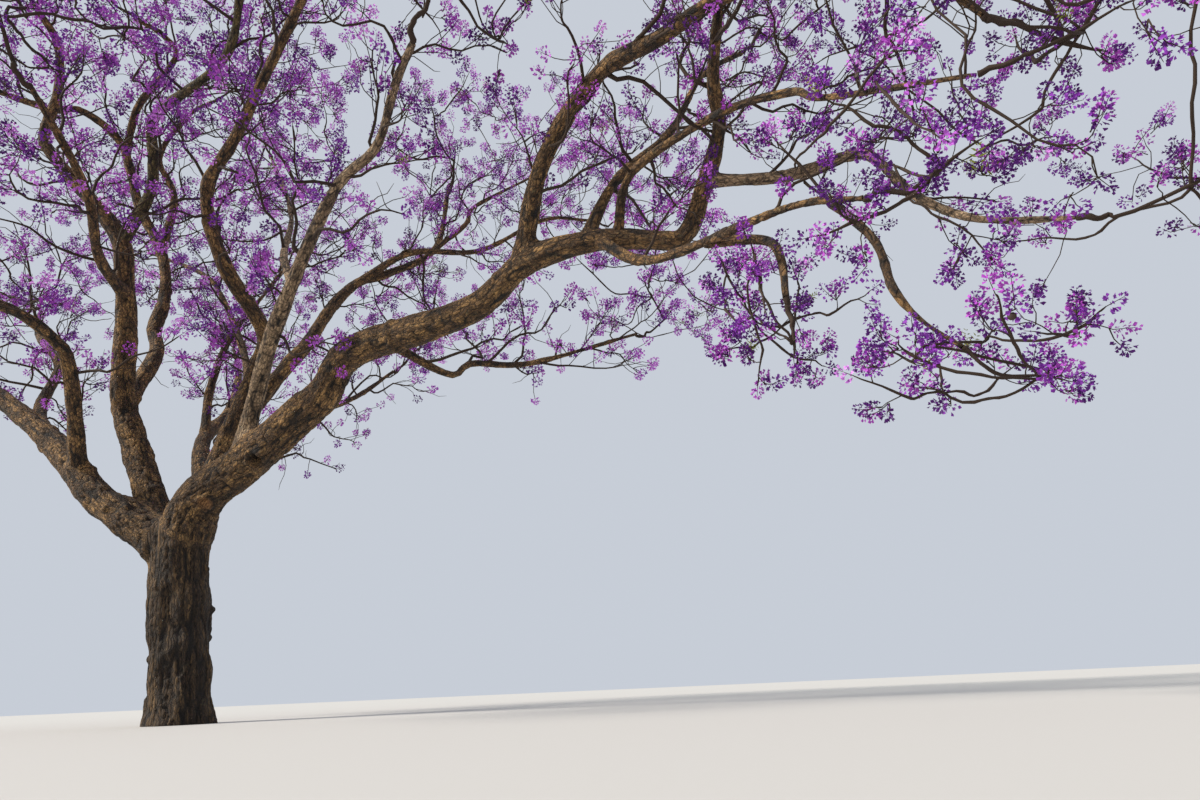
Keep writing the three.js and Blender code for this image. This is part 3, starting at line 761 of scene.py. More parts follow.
class Twig:
    """A twig from a joint to a spot, with the head of blossom that it carries there."""

    def __init__(self, mass, joint, spot, size):
        self.parent = joint
        self.foot = joint.belly if isinstance(joint, Twig) else joint
        self.size = size
        self.along = unit(spot - self.foot)
        self.axis = unit(self.along + [0, 0, SPRAY_UPWARD])
        joint_path = joint.joint_path if isinstance(joint, Twig) else 0
        self.path = joint_path + np.linalg.norm(spot - self.foot)
        self.joint_path = self.path
        self.neck = spot
        self.belly = spot + self.axis * SPRAY_BELLY * size * SPRAY_LENGTH
        self.tip = spot + self.axis * size * SPRAY_LENGTH
        self.spread = size * SPRAY_WIDTH / 2
        self.foot_radius = twig_radius(mass, joint_path) * FOOT_SHARE
        self.neck_radius = twig_radius(mass, self.path)
        self.forks = 0

    def side(self):
        """A level direction square to the head's axis."""
        hint = np.array([1.0, 0, 0]) if abs(self.axis[2]) > NEARLY_UPRIGHT else np.array([0, 0, 1.0])
        return unit(np.cross(self.axis, hint))


def twig_fits(twig, mass, spines):
    """True if a twig and its head keep to their space and touch no limb and no other head."""
    side = twig.side() * twig.spread
    for corner in (twig.tip, twig.belly + side, twig.belly - side, twig.belly):
        if mass.inside(corner) < CELL_MARGIN or corner[2] < LOWEST_TWIG:
            return False
    if mass.inside(twig.foot) < twig.foot_radius + CELL_MARGIN:
        return False
    if mass.inside(twig.neck) < twig.neck_radius + CELL_MARGIN:
        return False
    starts, ends, radii = spines
    if np.any(piece_distances(twig.neck, twig.tip, starts, ends) < radii + twig.spread + LIMB_MARGIN):
        return False
    if np.any(piece_distances(twig.foot, twig.neck, starts, ends) < radii + twig.foot_radius + LIMB_MARGIN):
        return False
    others = [other for other in mass.twigs if other is not twig.parent]
    if not others:
        return True
    necks, tips = np.array([o.neck for o in others]), np.array([o.tip for o in others])
    spreads = np.array([o.spread for o in others])
    if np.any(piece_distances(twig.neck, twig.tip, necks, tips) < SPRAY_ROOM * (twig.spread + spreads)):
        return False
    return not np.any(piece_distances(twig.foot, twig.neck, necks, tips) < SPRAY_ROOM * spreads)


def grow_mass(mass, spines):
    """Twigs branch outward from the stem: each starts in the head that gives it a short way home."""
    draw = seeded(FIRST_SEED + mass.index)
    fullness = min(1, mass.radius / FULL_SIZE_RADIUS)
    root = mass.tip + mass.tangent * TOUCH_GAP
    stem = Twig(mass, root, root + mass.tangent * STEM_LENGTH, fullness)
    stem.foot_radius = mass.limb.tip / 2
    stem.joint_path = STEM_LENGTH
    mass.twigs = [stem]
    for spot in spray_spots(mass, draw):
        size = (SMALLEST_SPRAY + (LARGEST_SPRAY - SMALLEST_SPRAY) * draw()) * fullness
        free = [twig for twig in mass.twigs if twig.forks < MOST_FORKS]
        free.sort(key=lambda twig: np.linalg.norm(twig.belly - spot) + PATH_WEIGHT * twig.joint_path)
        for joint in free[:JOINTS_TRIED]:
            twig = Twig(mass, joint, spot, size)
            if twig_fits(twig, mass, spines):
                joint.forks += 1
                mass.twigs.append(twig)
                break


def grow_masses(limbs):
    """Every mass of blossom, with its twigs."""
    bearing = [limb for limb in limbs.values() if limb.bloom]
    masses = [Mass(limb, index) for index, limb in enumerate(bearing)]
    spines = limb_spines(limbs)
    for mass in masses:
        mass.meet(masses)
        grow_mass(mass, spines)
    return masses


# Bark
def limb_tube(bm, limb, gap, sides):
    """A limb as a closed tube, with a collar where it leaves its parent. It starts inside its parent."""
    alongs, centres, tangents, side, front = limb.axis(gap)
    fade = np.exp(-np.maximum(0, alongs - limb.seat) / (COLLAR_FADE * limb.foot))
    radii = limb.radius_at(alongs) * (1 + (COLLAR_SWELL * fade if limb.seat > 0 else 0))
    radii[alongs < limb.seat * SUNK_SHARE] *= SEAT_SHARE
    matrices = []
    for centre, tangent, s, f, radius in zip(centres, tangents, side, front, radii):
        turn = Matrix((s, f, tangent)).transposed() * radius
        matrices.append(Matrix.Translation(centre) @ turn.to_4x4())
    made = bmesh.ops.create_circle(bm, cap_ends=True, segments=sides, radius=1, matrix=matrices[0])
    cap = made["verts"][0].link_faces[0]
    for before, after in zip(matrices, matrices[1:]):
        grown = bmesh.ops.extrude_face_region(bm, geom=[cap])["geom"]
        cap = next(item for item in grown if isinstance(item, bmesh.types.BMFace))
        bmesh.ops.transform(bm, matrix=after @ before.inverted(), verts=cap.verts)


def trunk_radius(angles, height, top):
    """The trunk's radius all round at a height, with its root lobes, ribs and the dome of its fork."""
    plain = (TRUNK_DIAMETER + (FORK_DIAMETER - TRUNK_DIAMETER) * min(height / top, 1)) / 2
    flare = ROOT_FLARE * math.exp(-max(0, height) / ROOT_FLARE_HEIGHT)
    lobes = 1 + LOBE_DEPTH * np.cos(ROOT_LOBES * angles + LOBE_TURN)
    ribs = FLUTE_DEPTH * np.cos(FLUTES * angles + height / FLUTE_TWIST_HEIGHT)
    for count, depth, turn, twist in RIBS:
        ribs = ribs + depth * np.cos(count * angles + turn + twist * height)
    dome = math.sqrt(max(LEAST_DOME, 1 - max(0, (height - top) / DOME_HEIGHT) ** 2))
    return plain * (1 + flare * lobes + ribs) * dome


def trunk_tube(bm, trunk):
    """The trunk as a closed tube of level rings. It starts below the ground, where it is cut off later."""
    top = trunk.point(1.0)[2]
    heights = np.arange(TRUNK_START, top + DOME_HEIGHT, TRUNK_RING_GAP)
    made = bmesh.ops.create_circle(bm, cap_ends=True, segments=TRUNK_TUBE_SIDES, radius=1)
    angles = np.array([math.atan2(v.co.y, v.co.x) for v in made["verts"]])
    cap = made["verts"][0].link_faces[0]
    order = {v: k for k, v in enumerate(made["verts"])}
    turns = np.array([angles[order[v]] for v in cap.verts])
    for level, height in enumerate(heights):
        if level > 0:
            grown = bmesh.ops.extrude_face_region(bm, geom=[cap])["geom"]
            cap = next(item for item in grown if isinstance(item, bmesh.types.BMFace))
        centre = trunk.point(min(max(height / top, 0), 1))
        radii = trunk_radius(turns, height, top)
        for vert, turn, radius in zip(cap.verts, turns, radii):
            vert.co = (centre[0] + radius * math.cos(turn), centre[1] + radius * math.sin(turn), height)


def grown_together(bm, voxel):
    """One skin round all the closed shapes of a bmesh: its points and four-sided faces."""
    mesh = bpy.data.meshes.new("shapes")
    bm.to_mesh(mesh)
    bm.free()
    whole = bpy.data.objects.new("shapes", mesh)
    bpy.context.scene.collection.objects.link(whole)
    remesh = whole.modifiers.new("grow_together", "REMESH")
    remesh.mode = "VOXEL"
    remesh.voxel_size = voxel
    depsgraph = bpy.context.evaluated_depsgraph_get()
    skin = bpy.data.meshes.new_from_object(whole.evaluated_get(depsgraph))
    points = np.zeros(len(skin.vertices) * 3)
    skin.vertices.foreach_get("co", points)
    quads = np.zeros(len(skin.loops), np.int64)
    skin.loops.foreach_get("vertex_index", quads)
    bpy.data.objects.remove(whole)
    bpy.data.meshes.remove(mesh)
    bpy.data.meshes.remove(skin)
    return points.reshape(-1, 3), quads.reshape(-1, 4)


def limb_tubes(limbs, least_foot):
    """A bmesh with the trunk and every limb that is at least as thick at its foot."""
    bm = bmesh.new()
    trunk_tube(bm, limbs["trunk"])
    for limb in limbs.values():
        if limb.name != "trunk" and limb.foot >= least_foot:
            limb_tube(bm, limb, TUBE_RING_GAP, TUBE_SIDES)
    return bm


def merged_bark(limbs):
    """The trunk and thick limbs as one skin. The great forks are filled first, on a coarse skin."""
    points, quads = grown_together(limb_tubes(limbs, GREAT_FOOT), COARSE_VOXEL)
    points = fill_forks(points, quads, COARSE_ROUNDS)
    filled = bpy.data.meshes.new("filled_forks")
    filled.from_pydata(points, [], quads)
    bm = limb_tubes(limbs, MERGED_FOOT)
    bm.from_mesh(filled)
    bpy.data.meshes.remove(filled)
    points, quads = grown_together(bm, BARK_VOXEL)
    return fill_forks(points, quads, FILLET_ROUNDS), quads


def gathered(values, index, count):
    """Sums of vectors by index."""
    return np.stack([np.bincount(index, values[:, k], count) for k in range(3)], axis=1)


def skin_normals(points, quads):
    """Outward normals at the points of a skin of four-sided faces."""
    a, b, c, d = (points[quads[:, k]] for k in range(4))
    faces = np.cross(c - a, d - b)
    return unit(gathered(np.repeat(faces, 4, axis=0), quads.ravel(), len(points)))


def fill_forks(points, quads, rounds):
    """Rounds out every sharp fork. Only hollows are filled, so that no limb gets thinner."""
    ends = np.concatenate([quads.ravel(), np.roll(quads, -1, axis=1).ravel()])
    others = np.concatenate([np.roll(quads, -1, axis=1).ravel(), quads.ravel()])
    counts = np.bincount(ends, minlength=len(points))[:, None]
    for _ in range(rounds):
        normals = skin_normals(points, quads)
        middle = gathered(points[others], ends, len(points)) / counts
        rise = np.sum((middle - points) * normals, axis=1, keepdims=True)
        points = points + np.maximum(rise, 0) * FILL_STEP * normals
    return points


def noise(points, seed):
    """Smooth random values from -1 to 1 that vary over one unit of the points."""
    cell = np.floor(points).astype(np.int64)
    part = points - cell
    fade = part**3 * (part * (part * 6 - 15) + 10)
    total = np.zeros(len(points))
    for corner in itertools.product((0, 1), repeat=3):
        x, y, z = ((cell + corner).astype(np.uint64) & 0xFFFFFFFF).T
        word = (x * 73856093 ^ y * 19349663 ^ z * 83492791 ^ np.uint64(seed * 2654435761)) & 0xFFFFFFFF
        word = ((word ^ (word >> 15)) * 2246822519) & 0xFFFFFFFF
        word = ((word ^ (word >> 13)) * 3266489917) & 0xFFFFFFFF
        weight = np.prod(np.where(corner, fade, 1 - fade), axis=1)
        total += weight * ((word ^ (word >> 16)) / 2147483648.0 - 1)
    return total


def beside(limb, points):
    """Each point's distance from a limb's line, and its place there: to the side, to the front, along."""
    alongs, centres, _, sides, fronts = limb.axis(AXIS_STEP)
    gaps = np.full(len(points), np.inf)
    index, shares = np.zeros(len(points), int), np.zeros(len(points))
    for i, step in enumerate(np.diff(centres, axis=0)):
        offset = points - centres[i]
        share = np.clip(offset @ step / step.dot(step), 0, 1)
        gap = np.linalg.norm(offset - share[:, None] * step, axis=1)
        nearer = gap < gaps
        gaps[nearer], shares[nearer] = gap[nearer], share[nearer]
        index[nearer] = i
    after = shares[:, None]

    def between(rows):
        return rows[index] * (1 - after) + rows[index + 1] * after

    offset = points - between(centres)
    place = [np.sum(offset * unit(between(sides)), axis=1), np.sum(offset * unit(between(fronts)), axis=1)]
    place.append(between(alongs[:, None])[:, 0])
    return gaps, np.stack(place, axis=1)


def bark_relief(place, radii, seed, length=PLATE_LENGTH):
    """How far the bark stands out at places on a limb, and how deep in a fissure each place is."""
    long_grain = place / [FISSURE_WIDTH, FISSURE_WIDTH, length]
    plates = np.minimum(1, np.abs(noise(long_grain, seed)) / FISSURE_SHARE)
    scales = noise(place / [SCALE_WIDTH, SCALE_WIDTH, SCALE_LENGTH], seed + SCALE_SEED)
    lumps = noise(place / LUMP_SIZE, seed + LUMP_SEED)
    knots = np.clip((noise(place / KNOT_SIZE, seed + KNOT_SEED) - KNOT_LEVEL) / KNOT_SPAN, 0, 1) ** 2
    strength = np.clip(radii / FULL_RELIEF_RADIUS, LEAST_RELIEF, 1)
    relief = FISSURE_DEPTH * (plates - 1) + SCALE_DEPTH * scales + LUMP_DEPTH * lumps + KNOT_DEPTH * knots
    return relief * strength, 1 - plates


def scars(points):
    """The relief of the knot hole and the scar, and how bare and how hollow they leave each point; the
    hollow is darkened as painted shade.
    """
    relief, scar, hole = (np.zeros(len(points)) for _ in range(3))
    for centre, radius, swell, depth, bare in SCARS:
        gap = np.linalg.norm(points - centre, axis=1) / radius
        rim = swell * np.exp(-(((gap - RIM_PLACE) / RIM_WIDTH) ** 2))
        relief += rim - depth * np.exp(-((gap / FLOOR_EDGE) ** 4))
        scar = np.maximum(scar, bare * np.exp(-((gap / BARE_EDGE) ** 6)))
        # Painted shade in the knot hole, darkest at its middle.
        hole = np.maximum(hole, (1 - bare) * np.exp(-((gap / HOLE_SHADE_EDGE) ** 6)))
    return relief, scar, hole


def bark_piece(name, points, faces, marks, material, normals=None):
    """One limb's bark as a piece that stands for its CAD node, with its marks for the material."""
    mesh = bpy.data.meshes.new(name)
    mesh.from_pydata(points, [], faces)
    for title, values in marks.items():
        kind, key = ("FLOAT_VECTOR", "vector") if values.ndim == 2 else ("FLOAT", "value")
        mesh.attributes.new(title, kind, "POINT").data.foreach_set(key, values.ravel())
    mesh.materials.append(material)
    mesh.shade_smooth()
    if normals is not None:
        mesh.normals_split_custom_set_from_vertices(normals)
    piece = bpy.data.objects.new(name, mesh)
    bpy.context.scene.collection.objects.link(piece)
    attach(piece, "root")
    return piece


def dress_merged(limbs, materials):
    """The trunk and thick limbs: one skin with its relief, parted again into a piece for each limb."""
    points, quads = merged_bark(limbs)
    merged = [limb for limb in limbs.values() if limb.name == "trunk" or limb.foot >= MERGED_FOOT]
    nearest = np.full(len(points), np.inf)
    second = np.full(len(points), np.inf)
    owner = np.zeros(len(points), int)
    places, radii = np.zeros((len(points), 3)), np.zeros(len(points))
    for number, limb in enumerate(merged):
        centres = limb.axis(AXIS_STEP)[1]
        reach = limb.foot * OWN_REACH + OWN_MARGIN
        near = np.all((points > centres.min(0) - reach) & (points < centres.max(0) + reach), axis=1)
        near = np.nonzero(near)[0]
        gaps, place = beside(limb, points[near])
        radius = limb.radius_at(place[:, 2])
        depth = gaps - radius
        wins = depth < nearest[near]
        second[near] = np.where(wins, nearest[near], np.minimum(second[near], depth))
        nearest[near] = np.where(wins, depth, nearest[near])
        owner[near[wins]], places[near[wins]] = number, place[wins]
        radii[near[wins]] = radius[wins]
    border = np.clip((second - nearest) / BORDER_FADE, 0, 1)
    relief, groove = np.zeros(len(points)), np.zeros(len(points))
    for number, limb in enumerate(merged):
        own = owner == number
        length = FISSURE_LENGTH if limb.name == "trunk" else PLATE_LENGTH
        relief[own], groove[own] = bark_relief(places[own], radii[own], number, length)
    stamped, scar, hole = scars(points)
    points = points + skin_normals(points, quads) * (relief * border + stamped)[:, None]
    normals = skin_normals(points, quads)
    above = np.any(points[quads, 2] > 0, axis=1)
    quads = quads[above]
    points[:, 2] = np.maximum(points[:, 2], 0)
    face_owner = owner[quads[:, 0]]
    for number, limb in enumerate(merged):
        faces = quads[face_owner == number]
        used, faces = np.unique(faces, return_inverse=True)
        marks = {
            "bark_place": beside(limb, points[used])[1],
            # How deep in a fissure and in the knot hole each point lies, which the material darkens, partly
            # as painted shade.
            "groove": np.maximum(groove * border, hole)[used],
            "scar": scar[used],
        }
        faces = faces.reshape(-1, 4).tolist()
        if limb.name == "trunk":
            faces.append(ground_rim(points[used], faces))
        piece = bark_piece(limb.name + "_bark", points[used], faces, marks,
                           materials[BARK_KINDS.get(limb.name, "grey_brown")], normals[used])
        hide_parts(limb.name)


def ground_rim(points, faces):
    """The flat cut under the trunk as one face: its rim, in order, facing down."""
    edges = [pair for face in faces for pair in zip(face, face[1:] + face[:1])]
    low = [(first, second) for first, second in edges if points[first][2] == 0 and points[second][2] == 0]
    rim = {second: first for first, second in low if (second, first) not in low}
    walk = [next(iter(rim))]
    while rim[walk[-1]] != walk[0]:
        walk.append(rim[walk[-1]])
    return walk


def dress_thin(limbs, materials):
    """The thin limbs, each a tube with its own relief, sunk into its parent."""
    for number, limb in enumerate(limbs.values()):
        if limb.name == "trunk" or limb.foot >= MERGED_FOOT:
            continue
        bm = bmesh.new()
        limb_tube(bm, limb, THIN_LIMB_RING_GAP, THIN_LIMB_SIDES)
        bm.normal_update()
        points = np.array([v.co for v in bm.verts])
        normals = np.array([v.normal for v in bm.verts])
        faces = [[v.index for v in face.verts] for face in bm.faces]
        bm.free()
        place = beside(limb, points)[1]
        relief, groove = bark_relief(place, limb.radius_at(place[:, 2]), number + THIN_LIMB_SEED)
        marks = {"bark_place": place, "groove": groove, "scar": np.zeros(len(points))}
        piece = bark_piece(limb.name + "_bark", points + normals * relief[:, None], faces, marks,
                           materials[BARK_KINDS.get(limb.name, "grey_brown")])
        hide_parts(limb.name)


# Meshes and paths for the crown
def triangle_mesh(name, points, triangles, material, slot):
    """A piece from arrays of points and triangles, smooth all over."""
    mesh = bpy.data.meshes.new(name)
    mesh.vertices.add(len(points))
    mesh.vertices.foreach_set("co", points.astype(np.float32).ravel())
    mesh.loops.add(triangles.size)
    mesh.loops.foreach_set("vertex_index", triangles.astype(np.int32).ravel())
    mesh.polygons.add(len(triangles))
    mesh.polygons.foreach_set("loop_start", np.arange(0, triangles.size, 3, dtype=np.int32))
    mesh.update(calc_edges=True)
    mesh.materials.append(material)
    piece = bpy.data.objects.new(name, mesh)
    bpy.context.scene.collection.objects.link(piece)
    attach(piece, "root")
    return piece


def in_pieces(name, points, triangles, material, slot):
    """One or more pieces of even size, each with PIECE_TRIANGLES at the most."""
    count = math.ceil(len(triangles) / PIECE_TRIANGLES)
    cuts = np.linspace(0, len(triangles), count + 1).astype(int)
    for number, (first, last) in enumerate(zip(cuts, cuts[1:])):
        used, part = np.unique(triangles[first:last], return_inverse=True)
        title = name if count == 1 else f"{name}_{number + 1}"
        triangle_mesh(title, points[used], part.reshape(-1, 3), material, slot)


def joined(parts):
    """Several (points, triangles) as one."""
    counts = np.cumsum([0] + [len(points) for points, _ in parts])
    points = np.concatenate([points for points, _ in parts])
    return points, np.concatenate([faces + count for (_, faces), count in zip(parts, counts)])


def tubes(paths, radii, sides):
    """Closed round tubes along many paths with the same number of points, as (points, triangles)."""
    count, rings = paths.shape[:2]
    tangents = unit(np.gradient(paths, axis=1))
    whole = unit(paths[:, -1] - paths[:, 0])
    side = unit(np.cross(tangents, hints(whole)[:, None]))
    front = np.cross(tangents, side)
    turns = 2 * np.pi * np.arange(sides) / sides
    spokes = side[:, :, None] * np.cos(turns)[:, None] + front[:, :, None] * np.sin(turns)[:, None]
    shells = (paths[:, :, None] + spokes * radii[:, :, None, None]).reshape(count, -1, 3)
    points = np.concatenate([shells, paths[:, :1], paths[:, -1:]], axis=1)
    ring = np.arange(sides)
    after = (ring + 1) % sides
    faces = []
    for level in range(rings - 1):
        low, high = level * sides, (level + 1) * sides
        faces.append(np.stack([low + ring, high + after, low + after], axis=1))
        faces.append(np.stack([low + ring, high + ring, high + after], axis=1))
    foot, end, last = rings * sides, rings * sides + 1, (rings - 1) * sides
    faces.append(np.stack([ring, after, np.full(sides, foot)], axis=1))
    faces.append(np.stack([last + after, last + ring, np.full(sides, end)], axis=1))
    faces = np.concatenate(faces)
    offsets = np.arange(count)[:, None, None] * points.shape[1]
    return points.reshape(-1, 3), (faces + offsets).reshape(-1, 3)


def crooked(starts, ends, steps, bend, rng):
    """Paths from starts to ends that wander a little, more so in the middle. bend is a share of length."""
    shares = np.linspace(0, 1, steps)
    straight = starts[:, None] + (ends - starts)[:, None] * shares[:, None]
    lengths = np.linalg.norm(ends - starts, axis=1)[:, None, None]
    wander = np.cumsum(rng.normal(size=straight.shape), axis=1)
    wander[:, 1:-1] = (wander[:, :-2] + wander[:, 1:-1] * 2 + wander[:, 2:]) / 4
    wander -= wander[:, :1] + (wander[:, -1:] - wander[:, :1]) * shares[:, None]
    return straight + wander * lengths * bend


def swept(starts, ends, ways_out, ways_in, steps):
    """Smooth curves from starts to ends that leave and arrive along given directions."""
    shares = np.linspace(0, 1, steps)[None, :, None]
    reaches = np.linalg.norm(ends - starts, axis=1, keepdims=True) * TWIG_SWEEP
    out, into = (ways_out * reaches)[:, None], (ways_in * reaches)[:, None]
    first, last = starts[:, None], ends[:, None]
    plain = first + (last - first) * shares**2 * (3 - 2 * shares)
    return plain + out * shares * (1 - shares) ** 2 - into * shares**2 * (1 - shares)


# Twigs and branches
def main_twig_tubes(masses, rng):
    """The twigs of the source's rule, from joint to neck and on through the middle of their heads.

    Each twig keeps the points of its way through its head, which the panicles hang on.
    """
    parts = []
    for mass in masses:
        twigs = mass.twigs
        feet = np.array([twig.foot for twig in twigs])
        necks = np.array([twig.neck for twig in twigs])
        bellies = np.array([twig.belly for twig in twigs])
        tips = np.array([twig.neck + (twig.tip - twig.neck) * AXIS_REACH for twig in twigs])
        alongs = np.array([twig.along for twig in twigs])
        axes = np.array([twig.axis for twig in twigs])
        old_ways = np.array([mass.tangent] + [twig.parent.axis for twig in twigs[1:]])
        leaving = unit(old_ways * WAY_KEPT + alongs)
        turning = unit(alongs + axes)
        feet[1:] -= leaving[1:] * TWIG_SINK
        foot_radii = np.array([twig.foot_radius for twig in twigs]) * TWIG_SLIMMING
        neck_radii = np.array([twig.neck_radius for twig in twigs]) * TWIG_SLIMMING
        foot_radii[0] = mass.limb.tip / 2
        bears = np.array([twig.forks > 0 for twig in twigs])
        belly_radii = np.where(bears, neck_radii * BEARING_TWIG_SHARE, neck_radii * LAST_TWIG_SHARE)
        lower = swept(feet, necks, leaving, turning, LOWER_RINGS)
        middle = swept(necks, bellies, turning, axes, HEAD_RINGS)
        upper = swept(bellies, tips, axes, axes, HEAD_RINGS)
        paths = np.concatenate([lower, middle[:, 1:], upper[:, 1:]], axis=1)
        straight = np.linspace(0, 1, paths.shape[1])[None, :, None]
        bent = crooked(feet, tips, paths.shape[1], TWIG_BEND, rng)
        paths = paths + bent - (feet[:, None] + (tips - feet)[:, None] * straight)
        lower_shares, head_shares = np.linspace(0, 1, LOWER_RINGS), np.linspace(0, 1, HEAD_RINGS)[1:]
        low = foot_radii[:, None] + (neck_radii - foot_radii)[:, None] * lower_shares
        mid = neck_radii[:, None] + (belly_radii - neck_radii)[:, None] * head_shares
        end = belly_radii[:, None] + (FINE_TWIG_TIP - belly_radii)[:, None] * head_shares
        radii = np.concatenate([low, mid, end], axis=1)
        radii *= 1 + UNEVEN_RADIUS * rng.normal(size=radii.shape)
        parts.append(tubes(paths, np.abs(radii), TWIG_SIDES))
        for twig, way in zip(twigs, paths):
            twig.way = way[LOWER_RINGS - 1:]
    return parts


class Panicle:
    """A spike of flowers: the joint that its fine twig leaves, its foot and its direction."""

    def __init__(self, joint, foot, axis, size, tint):
        self.joint, self.foot, self.axis, self.tint = joint, foot, axis, tint
        self.flower_share = flower_share(foot)
        self.size = size * self.flower_share


def arm_share(spot):
    """0 over the trunk and 1 out on the long arm, where the flowers are smaller and darkened with painted
    shade.
    """
    return min(1, max(0, (spot[0] - spot[1] - ARM_START) / (ARM_END - ARM_START)))


def flower_share(spot):
    """The size of the flowers at a place, as a share of the full size."""
    return 1 - ARM_SHRINK * arm_share(spot)


def head_panicles(twig, rng):
    """The panicles of one head, in loose bunches. A bunch hangs on the head's twig or on another bunch."""
    found = [Panicle(twig.way[-2], twig.way[-1], twig.axis, 1.0, panicle_tint(rng, 1.0, twig.way[-1]))]
    small = flower_share(twig.belly)
    bunches = max(1, round(rng.integers(FEWEST_BUNCHES, MOST_BUNCHES + 1) * min(1, twig.size) / small))
    joints = [(spot, JOINT_STEP * k) for k, spot in enumerate(twig.way)]
    side = twig.side()
    front = np.cross(twig.axis, side)
    turn = rng.uniform(0, 2 * math.pi)
    for k in range(bunches):
        share = (k + rng.uniform(*BUNCH_HEIGHTS)) / bunches
        turn += GOLDEN_TURN
        out = side * math.cos(turn) + front * math.sin(turn)
        bulge = math.sqrt(max(LEAST_BULGE, 1 - (2 * (share - WIDEST_SHARE)) ** 2))
        width = bulge * rng.uniform(*BUNCH_WIDTHS)
        centre = twig.neck + twig.axis * (HEAD_START + share * HEAD_RISE) * twig.size
        centre = centre + out * width * HEAD_SPREAD * twig.size
        costs = [np.linalg.norm(joint - centre) + PATH_WEIGHT * path for joint, path in joints]
        joint, path = joints[int(np.argmin(costs))]
        joints.append((centre, path + np.linalg.norm(joint - centre)))
        way = out * rng.uniform(*BUNCH_OUTWARD) + twig.axis * BUNCH_ONWARD
        way = unit(way + [0, 0, rng.uniform(*BUNCH_UPWARD)])
        size = rng.uniform(*FIRST_PANICLE_SIZES)
        found.append(Panicle(joint, centre, way, size, panicle_tint(rng, share, centre)))
        for _ in range(rng.integers(FEWEST_IN_BUNCH, MOST_IN_BUNCH + 1) - 1):
            aside = unit(way * PANICLE_KEPT + rng.normal(0, PANICLE_STRAY, 3))
            foot = centre + aside * rng.uniform(*BUNCH_REACH) * small
            axis = unit(aside + way * PANICLE_ONWARD + [0, 0, PANICLE_UPWARD])
            start = joint + (centre - joint) * rng.uniform(*PANICLE_JOINTS)
            size = rng.uniform(*PANICLE_SIZES)
            found.append(Panicle(start, foot, axis, size, panicle_tint(rng, share, foot)))
    return found


def panicle_tint(rng, height, spot):
    """The tint of a panicle: painted light makes it paler at the top of a head, and painted shade makes it
    deeper low down in it and on the long arm.
    """
    lift = height - HALFWAY - ARM_PAINTED_SHADE * arm_share(spot)
    weights = np.array(TINT_SHARES) * np.exp(PAINTED_LIGHT_AND_SHADE_RISE * lift * np.array(TINT_LIFTS))
    return int(rng.choice(len(weights), p=weights / weights.sum()))


def side_branches(limbs, rng):
    """Crooked branches along the thin parts of the limbs: their tubes, bare sprigs and panicles."""
    starts, ends, radii = limb_spines(limbs)
    owners = np.repeat(list(limbs), [len(limb.runs) * SPINE_STEPS_PER_RUN for limb in limbs.values()])
    low_corner, high_corner = np.array(CROWN_BOX)
    feet, tips, foot_radii = [], [], []
    for limb in limbs.values():
        turn = rng.uniform(0, 2 * math.pi)
        for along in np.arange(BRANCH_START, limb.length - BRANCH_END, BRANCH_GAP):
            turn += GOLDEN_TURN
            along += rng.uniform(-BRANCH_STRAY, BRANCH_STRAY) * BRANCH_GAP
            radius = float(limb.radius_at(along))
            length = rng.uniform(*BRANCH_LENGTHS)
            lift, sway = rng.uniform(*BRANCH_LIFTS), rng.normal(0, BRANCH_SWAY, 3)
            if limb.name == "trunk" or radius > THICKEST_WITH_BRANCHES:
                continue
            share = limb.share_at(along)
            tangent = limb.tangent(share)
            side = unit(np.cross(tangent, [0, 0, 1.0]))
            out = side * math.cos(turn) + np.cross(tangent, side) * math.sin(turn)
            foot = limb.point(share) + out * radius * BRANCH_SEAT
            tip = foot + unit(out + tangent * BRANCH_ONWARD + [0, 0, lift] + sway) * length
            clear = piece_distances(foot, tip, starts, ends) > radii + BRANCH_CLEARANCE
            if not np.all(clear | (owners == limb.name)):
                continue
            if tip[2] < LOWEST_BRANCH or np.any(tip < low_corner) or np.any(tip > high_corner):
                continue
            feet.append(foot)
            tips.append(tip)
            foot_radii.append(min(radius * BRANCH_FOOT_SHARE, BRANCH_FOOT + BRANCH_FOOT_RISE * length))
    paths = crooked(np.array(feet), np.array(tips), BRANCH_RINGS, BRANCH_BEND, rng)
    taper = np.linspace(1, BRANCH_TIP_SHARE, BRANCH_RINGS)
    branches = tubes(paths, np.array(foot_radii)[:, None] * taper, BRANCH_SIDES)
    sprigs, panicles = [], []
    for path in paths:
        way = unit(path[-1] - path[0])
        tint = panicle_tint(rng, HALFWAY, path[-1])
        panicles.append(Panicle(path[-2], path[-1], unit(way + [0, 0, BRANCH_BLOOM_UPWARD]), 1.0, tint))
        for foot in path[FIRST_SPRIG_RING:-1]:
            reach = rng.uniform(*SPRIG_LENGTHS)
            end = foot + unit(way + rng.normal(0, SPRIG_STRAY, 3) + [0, 0, SPRIG_UPWARD]) * reach
            axis = unit(end - foot + [0, 0, SPRIG_BLOOM_UPWARD * reach])
            sprig = Panicle(foot, end, axis, rng.uniform(*PANICLE_SIZES), panicle_tint(rng, HALFWAY, end))
            (panicles if rng.uniform() < SPRIG_BLOOM_SHARE else sprigs).append(sprig)
    return branches, sprigs, panicles


def fine_twig_tubes(panicles, rng):
    """The fine twig from each panicle's joint to its foot, and the stalk through its flowers."""
    joints = np.array([p.joint for p in panicles])
    feet = np.array([p.foot for p in panicles])
    axes = np.array([p.axis for p in panicles])
    sizes = np.array([p.size for p in panicles])[:, None]
    twigs = crooked(joints, feet, len(FINE_TWIG_TAPER) - 1, FINE_TWIG_BEND, rng)
    tips = feet + axes * PANICLE_LENGTH * STALK_SHARE * sizes
    paths = np.concatenate([twigs, tips[:, None]], axis=1)
    radii = np.array(FINE_TWIG_TAPER) * FINE_TWIG_RADIUS
    return tubes(paths, radii * np.array([p.flower_share for p in panicles])[:, None], FINE_TWIG_SIDES)


